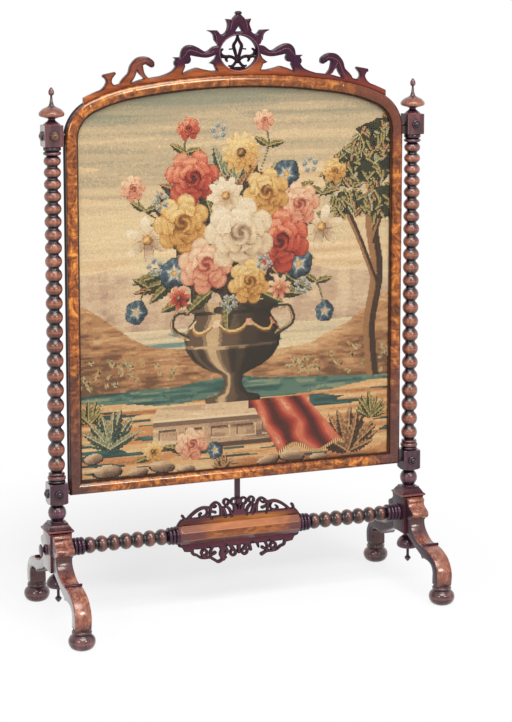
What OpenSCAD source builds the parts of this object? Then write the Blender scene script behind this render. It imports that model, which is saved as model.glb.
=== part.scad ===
// Cheval fire screen: two bobbin-turned posts on scrolled trestle feet, an arched
// cushion-faced frame with needlework under glass between them, a fretted crest, and a
// turned stretcher with a fret above and below its eight-sided middle.
// Millimetres. The origin is on the floor under the middle of the screen, +Z is up and
// the front faces -Y.

/* [Stand] */
// Distance between the axes of the two posts
post_spacing = 825; // [780:5:900]
// Distance from the front foot to the back foot, centre to centre
foot_spread = 350; // [330:5:390]
// Radius of a bun foot
foot_r = 28.5; // [26:0.5:31]
// Height of a bun foot
foot_h = 43; // [38:1:48]
// Width of a leg
leg_w = 36; // [30:1:40]
// Height of the pedestal block's underside
pedestal_z = 121; // [115:1:130]
// Width of the pedestal block, across the screen
pedestal_w = 48; // [44:1:54]
// Depth of the pedestal block, front to back
pedestal_d = 56; // [52:1:60]
// Height of the pedestal block
pedestal_h = 83; // [80:1:90]
// Side of the square moulded cap
cap_w = 58; // [56:1:64]
// Height of the moulded cap
cap_h = 21; // [18:1:26]

/* [Posts] */
// Height of the top of the posts, without their finials
post_top = 1070; // [1040:5:1110]
// Side of the square blocks of a post
block_w = 40; // [36:1:44]
// Height of a square block
block_h = 45; // [42:1:50]
// Height of the turned ball between the cap and the lower block
ball_h = 40; // [34:1:46]
// Number of bobbins on a post
bobbins = 23; // [20:1:25]
// Radius of a bobbin
bobbin_r = 18; // [15:0.5:20]
// Radius of the neck between two bobbins
neck_r = 11.5; // [9:0.5:13]
// How much closer the top bobbins stand than the bottom ones
bobbin_taper = 0.28; // [0:0.02:0.4]
// Height of the finial
finial_h = 78; // [70:1:90]
// Radius of the flat bulb of the finial
finial_r = 26.8; // [23:0.2:30]

/* [Frame] */
// Clearance between the frame and the posts' blocks
frame_gap = 7.5; // [5:0.5:10]
// Height of the frame's bottom edge
frame_bottom = 281; // [276:1:284]
// Height of the top of the arch
arch_top = 1165; // [1150:1:1190]
// Width of the cushion moulding, seen from the front
face_w = 24; // [22:1:28]
// Depth of the frame, front to back
frame_d = 28; // [28:1:32]
// Radius of the arch's corners
corner_r = 87; // [75:1:100]
// Radius of the arch's shoulders
shoulder_r = 360; // [300:5:420]
// Width of the rebate that holds the panel
rebate_w = 9; // [7:0.5:11]
// Width of the dark slip that shows inside the moulding
slip_show = 3.5; // [2:0.5:6]
// Thickness of the glass
glass_t = 2; // [1.5:0.1:3]
// Thickness of the back board
back_t = 4; // [3:0.5:5]

/* [Crest] */
// Height of the crest above the arch
crest_h = 135; // [125:1:145]
// Thickness of the crest board
crest_t = 12; // [9:0.5:14]
// Half the width of the crest's oval opening
oval_w = 42; // [39:0.5:44]
// Half the height of the crest's oval opening
oval_h = 37; // [35:0.5:38]
// Thickness of the tracery in the oval
tracery_t = 5; // [4:0.5:6]

/* [Stretcher] */
// Height of the stretcher's axis
stretcher_z = 166; // [160:1:170]
// Width across the flats of the eight-sided middle
octagon_w = 41; // [38:0.5:44]
// Half the length of the eight-sided middle
octagon_half = 142; // [140:1:150]
// Number of bobbins on each side of the stretcher
side_bobbins = 7; // [6:1:8]
// Thickness of the fret boards
fret_t = 8; // [6:0.5:9]
// Width of the support bar under the frame
bar_w = 12; // [9:0.5:14]
// Depth of the support bar
bar_d = 7; // [6:0.5:8]

/* [Joinery] */
// Radius of the stretcher's tenons
tenon_r = 10; // [8:0.5:11]
// Length of the stretcher's tenons
tenon_l = 32; // [26:1:34]
// Radius of the tenon under a post
post_tenon_r = 11; // [9:0.5:12]
// Depth to which the post's tenon enters the pedestal
post_tenon_l = 20; // [16:1:22]
// Radius of the pins that carry the frame
pin_r = 4; // [3:0.5:5]
// Radius of the dowels in the legs
dowel_r = 4.5; // [3.5:0.5:5]
// Length of the dowels in the legs
dowel_l = 26; // [22:1:28]

/* [Hidden] */
$fn = 48;

post_x = post_spacing / 2;
pedestal_top = pedestal_z + pedestal_h;
cap_top = pedestal_top + cap_h;
lower_block_z = cap_top + ball_h;
lower_block_top = lower_block_z + block_h;
upper_block_z = post_top - block_h;
ring_h = 23;
collar_h = 18;
bobbin_z = lower_block_top + ring_h;
bobbin_zone = upper_block_z - collar_h - bobbin_z;
// Clearance of a loose part from its seat
clear = 0.3;
// Depth of a turned spigot in its socket
spigot_r = 4;
spigot_l = 8;

frame_half = post_x - block_w / 2 - frame_gap;
frame_front = frame_d / 2;
// The cushion drops this much from its crown to its edges
cushion_h = 8;
lip_t = 2;
rebate_front = frame_front - cushion_h - lip_t;
rebate_in = face_w - rebate_w;
slip_t = 3;
canvas_t = 1.4;
glass_front = rebate_front - slip_t;
canvas_front = glass_front - glass_t - clear;
strainer_front = canvas_front - canvas_t - clear;
strainer_t = strainer_front + frame_d / 2;
strainer_w = 38;
board_in = 7;
screw_in = rebate_in - 3.5;
// The arch is three tangent arcs a side: these are its turning angles from the top
crown_turn = 9.2;
shoulder_turn = 25;
crown_r = (frame_half - shoulder_r * (sin(shoulder_turn) - sin(crown_turn))
    - corner_r * (1 - sin(shoulder_turn))) / sin(crown_turn);
crown_c = [0, arch_top - crown_r];
shoulder_c = crown_c + (crown_r - shoulder_r) * [sin(crown_turn), cos(crown_turn)];
corner_c = shoulder_c + (shoulder_r - corner_r) * [sin(shoulder_turn), cos(shoulder_turn)];
// The stiles meet the arch's corner blocks where the curve starts
stile_joint = corner_c[1];

// Points along an arc about c, from angle a0 to a1
function arc(c, r, a0, a1, n) = [for (i = [0:n]) let (a = a0 + (a1 - a0) * i / n) c + r * [cos(a), sin(a)]];
// A smooth curve through hand-chosen points, n steps between two of them
function spline(p, n = 4) = concat([for (i = [0:len(p) - 2], k = [0:n - 1])
    let (a = p[max(i - 1, 0)], b = p[i], c = p[i + 1], d = p[min(i + 2, len(p) - 1)], t = k / n)
    0.5 * (2 * b + (c - a) * t + (2 * a - 5 * b + 4 * c - d) * t * t + (3 * b - a - 3 * c + d) * t * t * t)],
    [p[len(p) - 1]]);
// A turned bead from height z0 to z1, standing from radius r0 out to r1
function bead(z0, z1, r0, r1, n = 6) = [for (i = [0:n]) let (a = 180 * i / n)
    [r0 + (r1 - r0) * sin(a), (z0 + z1) / 2 - (z1 - z0) / 2 * cos(a)]];
function total(v, i = 0) = i < len(v) ? v[i] + total(v, i + 1) : 0;
// Bobbins fill a length, and each is shorter than the one below it by the taper
function bobbin_run(z0, length, count, taper, r0, r1) =
    let (share = [for (i = [0:count - 1]) 1 - taper * pow((i + 0.5) / count, 2)], whole = total(share))
    [for (i = [0:count - 1])
        let (a = z0 + length * total([for (k = [0:1:i - 1]) share[k]]) / whole, b = a + length * share[i] / whole)
        each bead(a, b, r0, r1, 9)];
// The panel's outline, drawn in from the frame's outer edge by d
function panel_outline(d, k = 1) = let (
    right = concat(arc(corner_c, corner_r - d, 0, 90 - shoulder_turn, 7 * k),
        arc(shoulder_c, shoulder_r - d, 90 - shoulder_turn + 3 / k, 90 - crown_turn, 5 * k),
        arc(crown_c, crown_r - d, 90 - crown_turn + 1.5 / k, 90, 5 * k)),
    left = [for (i = [len(right) - 2:-1:0]) [-right[i][0], right[i][1]]])
    concat([[frame_half - d, frame_bottom + d]], right, left, [[-frame_half + d, frame_bottom + d]]);

module on_left() { translate([-post_x, 0, 0]) mirror([1, 0, 0]) children(); }
module on_right() { translate([post_x, 0, 0]) children(); }
function tidy(p) = [for (i = [0:len(p) - 1]) if (i == 0 || norm(p[i] - p[i - 1]) > 0.02) p[i]];
module turned(points) {
    p = tidy(points);
    rotate_extrude() polygon(concat([[0, p[0][1]]], p, [[0, p[len(p) - 1][1]]]));
}
// A flat shape drawn in X and Z, from depth y0 back to y1
module upright(y0, y1) { translate([0, y1, 0]) rotate([90, 0, 0]) linear_extrude(y1 - y0) children(); }
// A square block whose corners are turned off at both ends
module pummel(z, h, end = 5) {
    corner = block_w / sqrt(2) + 0.6;
    intersection() {
        translate([-block_w / 2, -block_w / 2, z]) cube([block_w, block_w, h]);
        turned([[corner - 8, z], [corner - 2.5, z + end * 0.5], [corner, z + end],
            [corner, z + h - end * 0.4], [corner - 4, z + h]]);
    }
}
// A moulding mitred round a square, from its half section
module mitred(section, w) {
    module way() {
        rotate([90, 0, 0]) translate([0, 0, -w]) linear_extrude(2 * w)
            polygon(concat(section, [for (i = [len(section) - 1:-1:0]) [-section[i][0], section[i][1]]]));
    }
    intersection() {
        way();
        rotate([0, 0, 90]) way();
    }
}
// A ribbon along a smooth curve; each point is [x, z, width]
module ribbon(points, n = 3) {
    q = spline(points, n);
    last = len(q) - 1;
    function side(s) = [for (i = [0:last])
        let (a = q[max(i - 1, 0)], b = q[min(i + 1, last)], t = [b[0] - a[0], b[1] - a[1]], l = norm(t))
        [q[i][0] - s * t[1] / l * q[i][2] / 2, q[i][1] + s * t[0] / l * q[i][2] / 2]];
    back = side(-1);
    polygon(concat(side(1), [for (i = [last:-1:0]) back[i]]));
    translate([q[0][0], q[0][1]]) circle(d = q[0][2], $fn = 16);
    translate([q[last][0], q[last][1]]) circle(d = q[last][2], $fn = 16);
}
module both_sides() {
    children();
    mirror([1, 0]) children();
}

// Post: tenon, ball, lower block, ring mouldings, bobbins, collar and upper block
module post() {
    color("saddlebrown") difference() {
        union() {
            turned(concat(
                [[post_tenon_r, pedestal_top - post_tenon_l], [post_tenon_r, cap_top], [15.5, cap_top], [15.5, cap_top + 3]],
                bead(cap_top + 4, lower_block_z - 4, 12.5, 19.4, 10),
                [[14, lower_block_z], [14, lower_block_top]],
                bead(lower_block_top, lower_block_top + 6, 15.5, 18.5, 4),
                bead(lower_block_top + 6, lower_block_top + 16, 16, 19.5, 5),
                bead(lower_block_top + 16, bobbin_z, 13.5, 17.5, 4),
                bobbin_run(bobbin_z, bobbin_zone, bobbins, bobbin_taper, neck_r, bobbin_r),
                bead(bobbin_z + bobbin_zone, bobbin_z + bobbin_zone + 8, 14, 19, 5),
                [[15.5, upper_block_z - 9], [18.6, upper_block_z - 7], [18.6, upper_block_z - 2], [15.5, upper_block_z]],
                [[15.5, post_top]]));
            pummel(lower_block_z, block_h);
            pummel(upper_block_z, block_h, 1);
        }
        boss_sockets();
        for (z = block_centres()) translate([-block_w / 2 - 1, 0, z]) rotate([0, 90, 0]) cylinder(r = pin_r, h = pin_in + 1);
        translate([0, 0, post_top - spigot_l - clear]) cylinder(r = spigot_r, h = spigot_l + 2);
    }
}
pin_in = 16;
function block_centres() = [lower_block_z + block_h / 2, upper_block_z + block_h / 2];

// Finial: cone, neck, flat bulb, thin flared stem and a drop on top
module finial() {
    s = finial_h / 78;
    k = finial_r / 26.8;
    base = post_top;
    color("saddlebrown") union() {
        turned(concat(
            [[17.8 * k, base], [17.8 * k, base + 1.5 * s], [13.8 * k, base + 5 * s], [9.5 * k, base + 8 * s]],
            [[7.4 * k, base + 10.5 * s], [7.8 * k, base + 12.5 * s]],
            spline([for (p = [[17, 15.5], [25, 18.2], [26.8, 22.5], [25.6, 26.5], [19, 33], [10, 37.2], [6, 40]])
                [p[0] * k, base + p[1] * s]], 3),
            spline([for (p = [[4.8, 41.5], [2.9, 47], [2.1, 53], [1.9, 58], [2.2, 60.5]]) [p[0] * k, base + p[1] * s]], 2),
            spline([for (p = [[4.6, 62], [6.2, 66.5], [5, 72], [2.2, 76.4], [0.4, 78]]) [p[0] * k, base + p[1] * s]], 3)));
        translate([0, 0, base - spigot_l]) cylinder(r = spigot_r, h = spigot_l + 2);
    }
}

// Turned rosette on a block's face: a dished disc with a button in its middle
module boss() {
    color("peru") union() {
        turned([[9, 0], [10.3, 1.5], [10.3, 3], [9.2, 4.6], [7, 5], [5.8, 3.8], [5.6, 5.4], [4, 7], [1.8, 7.8], [0.3, 8]]);
        translate([0, 0, -spigot_l]) cylinder(r = spigot_r, h = spigot_l + 1);
    }
}
module front_boss_places() { for (z = block_centres()) translate([0, -block_w / 2, z]) rotate([90, 0, 0]) children(); }
module outer_boss_places() { for (z = block_centres()) translate([block_w / 2, 0, z]) rotate([0, 90, 0]) children(); }
module boss_sockets() {
    front_boss_places() translate([0, 0, -spigot_l - clear]) cylinder(r = spigot_r, h = spigot_l + 2);
    outer_boss_places() translate([0, 0, -spigot_l - clear]) cylinder(r = spigot_r, h = spigot_l + 2);
}

// Moulded cap between the pedestal and the post's ball
module cap() {
    h = cap_h;
    w = cap_w / 2;
    color("saddlebrown") translate([0, 0, pedestal_top]) difference() {
        mitred([[w - 3.5, 0], [w - 2.8, 1.4], [w - 0.6, 2.6], [w, 3.4], [w, h * 0.3], [w - 1, h * 0.34], [w - 4.5, h * 0.45],
            [w - 4.5, h * 0.54], [w - 5.6, h * 0.56], [w - 9.8, h * 0.86], [w - 10.6, h * 0.87], [w - 10.6, h]], w + 2);
        translate([0, 0, -1]) cylinder(r = post_tenon_r, h = h + 2);
    }
}

// Pedestal block: the joint of post, legs, stretcher and pendant
module pedestal() {
    color("sienna") difference() {
        translate([-pedestal_w / 2, -pedestal_d / 2, pedestal_z]) cube([pedestal_w, pedestal_d, pedestal_h]);
        translate([0, 0, pedestal_top - post_tenon_l - clear]) cylinder(r = post_tenon_r, h = post_tenon_l + 2);
        translate([-pedestal_w / 2 - 1, 0, stretcher_z]) rotate([0, 90, 0]) cylinder(r = tenon_r, h = tenon_l + clear + 1);
        translate([pedestal_w / 2 - spigot_l - clear, 0, stretcher_z]) rotate([0, 90, 0]) cylinder(r = spigot_r, h = spigot_l + 2);
        translate([0, 0, pedestal_z - 1]) cylinder(r = spigot_r, h = spigot_l + clear + 1);
        for (m = [0, 1]) mirror([0, m, 0]) leg_dowel_places() cylinder(r = dowel_r, h = dowel_l, center = true);
    }
}
module leg_dowel_places() {
    for (z = [stretcher_z - 28, stretcher_z + 19]) translate([0, pedestal_d / 2, z]) rotate([90, 0, 0]) children();
}
module leg_dowels() {
    for (s = [-1, 1], m = [0, 1]) color("burlywood") translate([s * post_x, 0, 0]) mirror([0, m, 0])
        leg_dowel_places() cylinder(r = dowel_r, h = dowel_l - 1, center = true);
}

// Pendant drop: a flat-bottomed dome, a thin stem and a spear-shaped drop
module pendant() {
    z = pedestal_z;
    color("saddlebrown") union() {
        turned(concat(
            [[0.3, z - 74], [3, z - 71.5], [6.8, z - 66.5], [6.9, z - 63.5], [4, z - 60.5], [3.1, z - 57], [3.1, z - 41.5]],
            [[9, z - 40.5], [19, z - 39.5], [23.5, z - 37.5]],
            spline([[25.5, z - 33], [24, z - 26], [19, z - 18.5], [12, z - 12.5], [9.5, z - 9]], 3),
            [[9.5, z - 4], [12, z - 2.5], [12, z]]));
        translate([0, 0, z - 1]) cylinder(r = spigot_r, h = spigot_l + 1);
    }
}

// Turned knob on the pedestal's outer face, on the stretcher's axis
module stretcher_knob() {
    color("saddlebrown") translate([pedestal_w / 2, 0, stretcher_z]) rotate([0, 90, 0]) union() {
        turned([[8, 0], [11, 1], [12.2, 3.2], [11, 5.6], [7, 7.4], [5.6, 8.6], [6, 10], [10.8, 11], [12.9, 12.4],
            [12.9, 13.6], [10.5, 15], [5, 15.8], [0.3, 16]]);
        translate([0, 0, -spigot_l]) cylinder(r = spigot_r, h = spigot_l + 1);
    }
}

// Leg, drawn as [distance from the post's axis, height]; the knee block is a little wider
foot_y = foot_spread / 2;
leg_front = pedestal_d / 2;
toe = foot_y - 175;
function leg_top() = spline([[50, 157], [51, 148], [56, 139], [66, 130.5], [78, 123.5], [93, 118], [116, 116.5],
    [136 + toe * 0.7, 114], [152 + toe, 109.5], [168 + toe, 102], [181 + toe, 90], [189.5 + toe, 74],
    [190.5 + toe, 60], [188 + toe, foot_h]], 3);
function leg_under() = concat(
    spline([[161.5 + toe, foot_h], [161.5 + toe, 58], [162 + toe, 70], [156 + toe, 81], [144 + toe, 86.5],
        [127 + toe * 0.5, 88], [116 + toe * 0.3, 87.5]], 3),
    [[108, 84.5]],
    spline([[103, 91], [92, 94.8], [74, 101], [56, 108.5], [40, 115.5], [leg_front, pedestal_z]], 3));
module leg() {
    knee_top = pedestal_top;
    color("peru") difference() {
        union() {
            rotate([90, 0, 90]) translate([0, 0, -leg_w / 2]) linear_extrude(leg_w)
                polygon(concat([[leg_front, 165], [46, 165]], leg_top(), leg_under()));
            rotate([90, 0, 90]) translate([0, 0, -leg_w / 2 - 1.5]) linear_extrude(leg_w + 3)
                polygon(concat([[leg_front, knee_top]],
                    spline([[leg_front + 14, knee_top - 0.5], [leg_front + 16.5, knee_top - 5], [leg_front + 14, knee_top - 11.5],
                        [leg_front + 20, knee_top - 18], [leg_front + 31, knee_top - 22.5], [leg_front + 37.5, knee_top - 27.5],
                        [leg_front + 37.8, knee_top - 34.5], [leg_front + 32, knee_top - 40.5]], 3),
                    [[leg_front + 22, knee_top - 43], [leg_front + 22, knee_top - 47], [leg_front, knee_top - 47]]));
            translate([-leg_w / 2 - 1, 117, 117.5]) rotate([0, 90, 0]) cylinder(r = 3, h = leg_w + 2);
        }
        leg_dowel_places() cylinder(r = dowel_r, h = dowel_l, center = true);
        translate([0, foot_y, foot_h - 1]) cylinder(r = spigot_r + 2, h = 15);
    }
}

// Bun foot with a ringed collar
module foot() {
    k = foot_h / 43;
    r = foot_r;
    color("saddlebrown") translate([0, foot_y, 0]) union() {
        turned(concat(
            spline([[r - 12, 0], [r - 5.5, 4 * k], [r - 1.2, 11 * k], [r, 18.5 * k], [r - 2.4, 26 * k], [r - 8.5, 32 * k]], 3),
            [[r - 9.5, 33 * k]],
            bead(33.6 * k, 40 * k, r - 9.5, r - 7.2, 4),
            [[r - 9.8, 41 * k], [r - 9.8, foot_h]]));
        translate([0, 0, foot_h - 1]) cylinder(r = spigot_r + 2, h = 14);
    }
}

// Stretcher: tenon, reeded collar, bobbins, rings and half of the eight-sided middle, twice
side_length = post_spacing / 2 - pedestal_w / 2;
reed_len = 33;
rings_len = 24;
run_len = side_length - reed_len - rings_len - octagon_half;
function stretcher_side() = concat(
    [for (i = [0:2]) each bead(octagon_half + i * rings_len / 3, octagon_half + (i + 1) * rings_len / 3, 15.5, 20.5 - i * 0.7, 4)],
    bobbin_run(octagon_half + rings_len, run_len, side_bobbins, 0, neck_r, bobbin_r),
    [for (i = [0:3]) each bead(octagon_half + rings_len + run_len + i * reed_len / 4,
        octagon_half + rings_len + run_len + (i + 1) * reed_len / 4, 16.5, 19.3, 4)],
    [[tenon_r, side_length], [tenon_r, side_length + tenon_l]]);
groove = 5;
module stretcher() {
    flat = octagon_w / 2;
    color("sienna") translate([0, 0, stretcher_z]) difference() {
        union() {
            for (s = [0, 180]) rotate([0, 0, s]) rotate([0, 90, 0]) turned(stretcher_side());
            intersection() {
                rotate([0, 90, 0]) rotate([0, 0, 22.5]) cylinder(r = flat / cos(22.5), h = 2 * octagon_half + 2, center = true, $fn = 8);
                rotate([0, 90, 0]) turned([[flat - 3, -octagon_half - 1], [flat + 3, -octagon_half + 6],
                    [flat + 3, octagon_half - 6], [flat - 3, octagon_half + 1]]);
            }
        }
        for (s = [-1, 1]) translate([-tongue_half, -fret_t / 2, s > 0 ? flat - groove : -flat - 1])
            cube([2 * tongue_half, fret_t, groove + 1]);
        translate([-bar_w / 2, bar_y, flat - bar_seat]) cube([bar_w, bar_d, bar_seat + 1]);
    }
}
tongue_half = 118;
bar_seat = 12;
bar_y = fret_t / 2 + 1.5;

// Support bar from the stretcher, behind the upper fret, up into the frame's bottom rail
module support_bar() {
    z0 = stretcher_z + octagon_w / 2 - bar_seat;
    color("saddlebrown") translate([-bar_w / 2, bar_y, z0]) cube([bar_w, bar_d, frame_bottom + bar_in - z0]);
}
bar_in = 9;

// Half of the upper fret: [x, height over the middle's top flat, width] along each scroll
fret_base = 15.5;
module upper_half() {
    polygon([[0, 0], [octagon_half + 3, 0], [octagon_half - 2, 7.5], [octagon_half - 7, 13.5], [octagon_half - 16, fret_base], [0, fret_base]]);
    ribbon([[121, 12, 7], [109.5, 22.5, 7], [97, 31, 7], [84, 35.5, 7], [69, 34, 7]]);
    ribbon([[78, 34, 6], [74, 26, 5], [77, 18, 6], [87, 14, 7], [92, 20, 5.5], [88, 24, 5]]);
    ribbon([[69, 12, 6], [67, 24, 6], [65, 36, 7], [55, 44.5, 6], [46.5, 41, 6], [42, 30, 7], [41, 12, 8]]);
    ribbon([[64, 36, 6], [57, 34.5, 5], [53.5, 37, 5.5]]);
    ribbon([[66, 27, 6], [59, 24, 6], [55.5, 23, 7]]);
    ribbon([[36, 31, 7], [30, 12, 8]]);
    ribbon([[30, 34, 7], [22, 27, 7], [16, 12, 7]]);
    translate([29.5, 43.5]) difference() {
        circle(r = 8.8);
        scale([0.62, 1.15]) circle(r = 4);
    }
    translate([11, 42.5]) difference() {
        circle(r = 9.8);
        scale([0.85, 1.1]) circle(r = 4.4);
    }
    ribbon([[11, 35, 8], [8, 25, 11], [12, 13, 11]]);
    ribbon([[0, 12, 9], [0, 30, 5], [0, 48, 7]]);
}
module upper_fret() {
    color("saddlebrown") translate([0, 0, stretcher_z + octagon_w / 2]) upright(-fret_t / 2, fret_t / 2) {
        offset(delta = -0.5) offset(delta = 0.5) difference() {
            union() {
                both_sides() upper_half();
                ribbon([[-124, 13, 6.5], [-128, 17, 6], [-131, 21.5, 6.5]]);
                ribbon([[128, 12, 6.5], [129.5, 17, 6], [126.5, 23.5, 6.5]]);
            }
            both_sides() for (p = [[64, 11], [32, 11.5], [18, 11]]) translate(p) circle(r = 1.5, $fn = 16);
        }
        translate([-tongue_half, -groove]) square([2 * tongue_half, groove + 1]);
    }
}

// Half of the lower fret, with heights below the middle's bottom flat; one lobe is lost
module lower_half(whole) {
    polygon([[0, 0], [octagon_half + 1, 0], [octagon_half - 2, 6], [octagon_half - 10, 8.5], [octagon_half - 15, 18],
        [octagon_half - 31, 20], [octagon_half - 37, 15.5], [0, 15.5]]);
    ribbon([[109, 17, 7], [107, 25, 6.5], [98.5, 28.5, 6], [90, 34.5, 6], [80, 36.5, 6], [66, 36, 6.5]]);
    translate([81, 25]) difference() {
        circle(r = 9.6);
        circle(r = 3.2);
    }
    ribbon([[66, 37, 6], [67, 26, 6], [62, 14, 7]]);
    ribbon([[63, 31, 6], [56, 27, 8]]);
    translate([13.5, 31]) difference() {
        circle(r = 9.4);
        circle(r = 3);
    }
    ribbon([[20, 14, 9], [13, 24, 9]]);
    ribbon([[0, 12, 10], [0, 31, 8]]);
    if (whole) {
        ribbon([[66, 37, 7], [57, 43.5, 6.5], [48, 48.5, 7], [38, 44, 7], [31, 40, 6]]);
        ribbon([[36, 43, 9], [42, 33, 9], [38, 22, 12], [42, 13, 12]]);
        ribbon([[34, 33, 9], [28, 26, 8], [34, 14, 9]]);
    } else {
        ribbon([[66, 36, 7], [59, 39.5, 7], [54, 42, 8]]);
        ribbon([[43, 13, 8], [46.5, 25, 4]]);
        ribbon([[24, 13, 7], [27.5, 28, 8]]);
    }
}
module lower_fret() {
    color("saddlebrown") translate([0, 0, stretcher_z - octagon_w / 2]) mirror([0, 0, 1]) upright(-fret_t / 2, fret_t / 2) {
        offset(delta = -0.5) offset(delta = 0.5) difference() {
            union() {
                mirror([1, 0]) lower_half(true);
                lower_half(false);
            }
            both_sides() for (p = [[103, 15.5], [71, 12], [31, 11.5]]) translate(p) circle(r = 1.5, $fn = 16);
        }
        translate([-tongue_half, -groove]) square([2 * tongue_half, groove + 1]);
    }
}

// Section of the frame: x runs in from the outer edge, y towards the front
module frame_section() {
    edge = frame_front - cushion_h;
    cushion = [for (a = [0:15:180]) [-face_w / 2 + face_w / 2 * cos(a), edge + cushion_h * sin(a)]];
    polygon(concat([[0, -frame_front]], cushion, [[-face_w, rebate_front], [-rebate_in, rebate_front], [-rebate_in, -frame_front]]));
}
module frame_arc(c, r, a0, a1) {
    translate([c[0], 0, c[1]]) rotate([90, 0, 0]) rotate([0, 0, a0])
        rotate_extrude(angle = a1 - a0, $fn = 360) translate([r, 0]) frame_section();
}
module right_bar(z0, z1) { translate([frame_half, 0, z0]) linear_extrude(z1 - z0) mirror([0, 1]) frame_section(); }
module corner_mitre() {
    translate([frame_half, -50, frame_bottom]) rotate([0, 45, 0]) translate([-100, 0, -200]) cube([200, 100, 200]);
}
module frame_pin_holes() {
    for (s = [-1, 1], z = block_centres()) translate([s * frame_half, 0, z]) rotate([0, 90, 0])
        cylinder(r = pin_r, h = 2 * pin_out, center = true);
}
pin_out = 11;
module screw_holes() { screw_places() cylinder(r = 1.5, h = 16, center = true); }
module right_stile() {
    color("chocolate") difference() {
        right_bar(frame_bottom, stile_joint);
        corner_mitre();
        frame_pin_holes();
        screw_holes();
    }
}
module bottom_rail() {
    color("chocolate") difference() {
        translate([0, 0, frame_bottom]) rotate([0, 90, 0]) translate([0, 0, -frame_half]) linear_extrude(2 * frame_half)
            mirror([0, 1]) frame_section();
        for (m = [0, 1]) mirror([m, 0, 0]) translate([frame_half, -50, frame_bottom])
            rotate([0, 45, 0]) translate([-100, 0, 0]) cube([200, 100, 200]);
        translate([-bar_w / 2, bar_y, frame_bottom - 1]) cube([bar_w, bar_d, bar_in + 1]);
        frame_pin_holes();
        screw_holes();
    }
}
module arch_crown() {
    color("chocolate") difference() {
        frame_arc(crown_c, crown_r, 90 - crown_turn, 90 + crown_turn);
        screw_holes();
        crest_dowel_places() cylinder(r = crest_dowel_r, h = 20, center = true);
    }
}
module arch_shoulder() {
    color("chocolate") difference() {
        frame_arc(shoulder_c, shoulder_r, 90 - shoulder_turn, 90 - crown_turn);
        screw_holes();
    }
}
module arch_corner() {
    color("chocolate") difference() {
        frame_arc(corner_c, corner_r, 0, 90 - shoulder_turn);
        frame_pin_holes();
        screw_holes();
    }
}
module frame_pins() {
    for (s = [-1, 1], z = block_centres()) color("dimgray") translate([s * (frame_half - pin_out + clear), 0, z])
        rotate([0, s * 90, 0]) cylinder(r = pin_r, h = pin_out + frame_gap + pin_in - 2 * clear);
}

// What the rebate holds, from the front: slip, glass, needlework and its strainer
module sight_slip() {
    color("#221510") upright(-rebate_front, -glass_front) difference() {
        polygon(panel_outline(rebate_in + clear));
        polygon(panel_outline(face_w + slip_show));
    }
}
module glass_pane() { color("lightcyan", 0.4) upright(-glass_front, -glass_front + glass_t) polygon(panel_outline(rebate_in + 2 * clear)); }
module needlework_canvas() {
    color("tan") upright(-canvas_front, -canvas_front + canvas_t) polygon(panel_outline(rebate_in + 1));
}
module strainer() {
    middle = (frame_bottom + arch_top) / 2;
    color("burlywood") upright(-strainer_front, -strainer_front + strainer_t) {
        difference() {
            polygon(panel_outline(rebate_in + 0.6));
            polygon(panel_outline(rebate_in + strainer_w));
        }
        translate([-frame_half + rebate_in + strainer_w - 1, middle - strainer_w / 2])
            square([2 * (frame_half - rebate_in - strainer_w + 1), strainer_w]);
    }
}
module back_board() {
    color("#6b4a2f") difference() {
        upright(frame_front, frame_front + back_t) polygon(panel_outline(board_in));
        screw_holes();
    }
}
// Screws round the back board, in the solid wood outside the rebate
module screw_places() {
    half = frame_half - screw_in;
    low = frame_bottom + screw_in;
    side_z = [for (i = [0:3]) low + 60 + i * (corner_c[1] - low - 100) / 3];
    low_x = [for (i = [0:3]) (i - 1.5) * half / 2];
    arch_a = [for (a = [-6:6:6]) 90 + a];
    for (s = [-1, 1], z = side_z) at_back(s * half, z) children();
    for (x = low_x) at_back(x, low) children();
    for (a = arch_a) at_back((crown_r - screw_in) * cos(a), crown_c[1] + (crown_r - screw_in) * sin(a)) children();
    for (s = [-1, 1]) {
        at_back(s * (shoulder_c[0] + (shoulder_r - screw_in) * cos(73)), shoulder_c[1] + (shoulder_r - screw_in) * sin(73)) children();
        at_back(s * (corner_c[0] + (corner_r - screw_in) * cos(38)), corner_c[1] + (corner_r - screw_in) * sin(38)) children();
    }
}
module at_back(x, z) { translate([x, frame_front + back_t, z]) rotate([-90, 0, 0]) children(); }
module back_board_screws() {
    color("goldenrod") screw_places() union() {
        translate([0, 0, -7.6]) cylinder(r = 1.5, h = 8);
        turned([[3.4, 0], [3.2, 0.8], [2, 1.8], [0.3, 2.2]]);
    }
}

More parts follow.
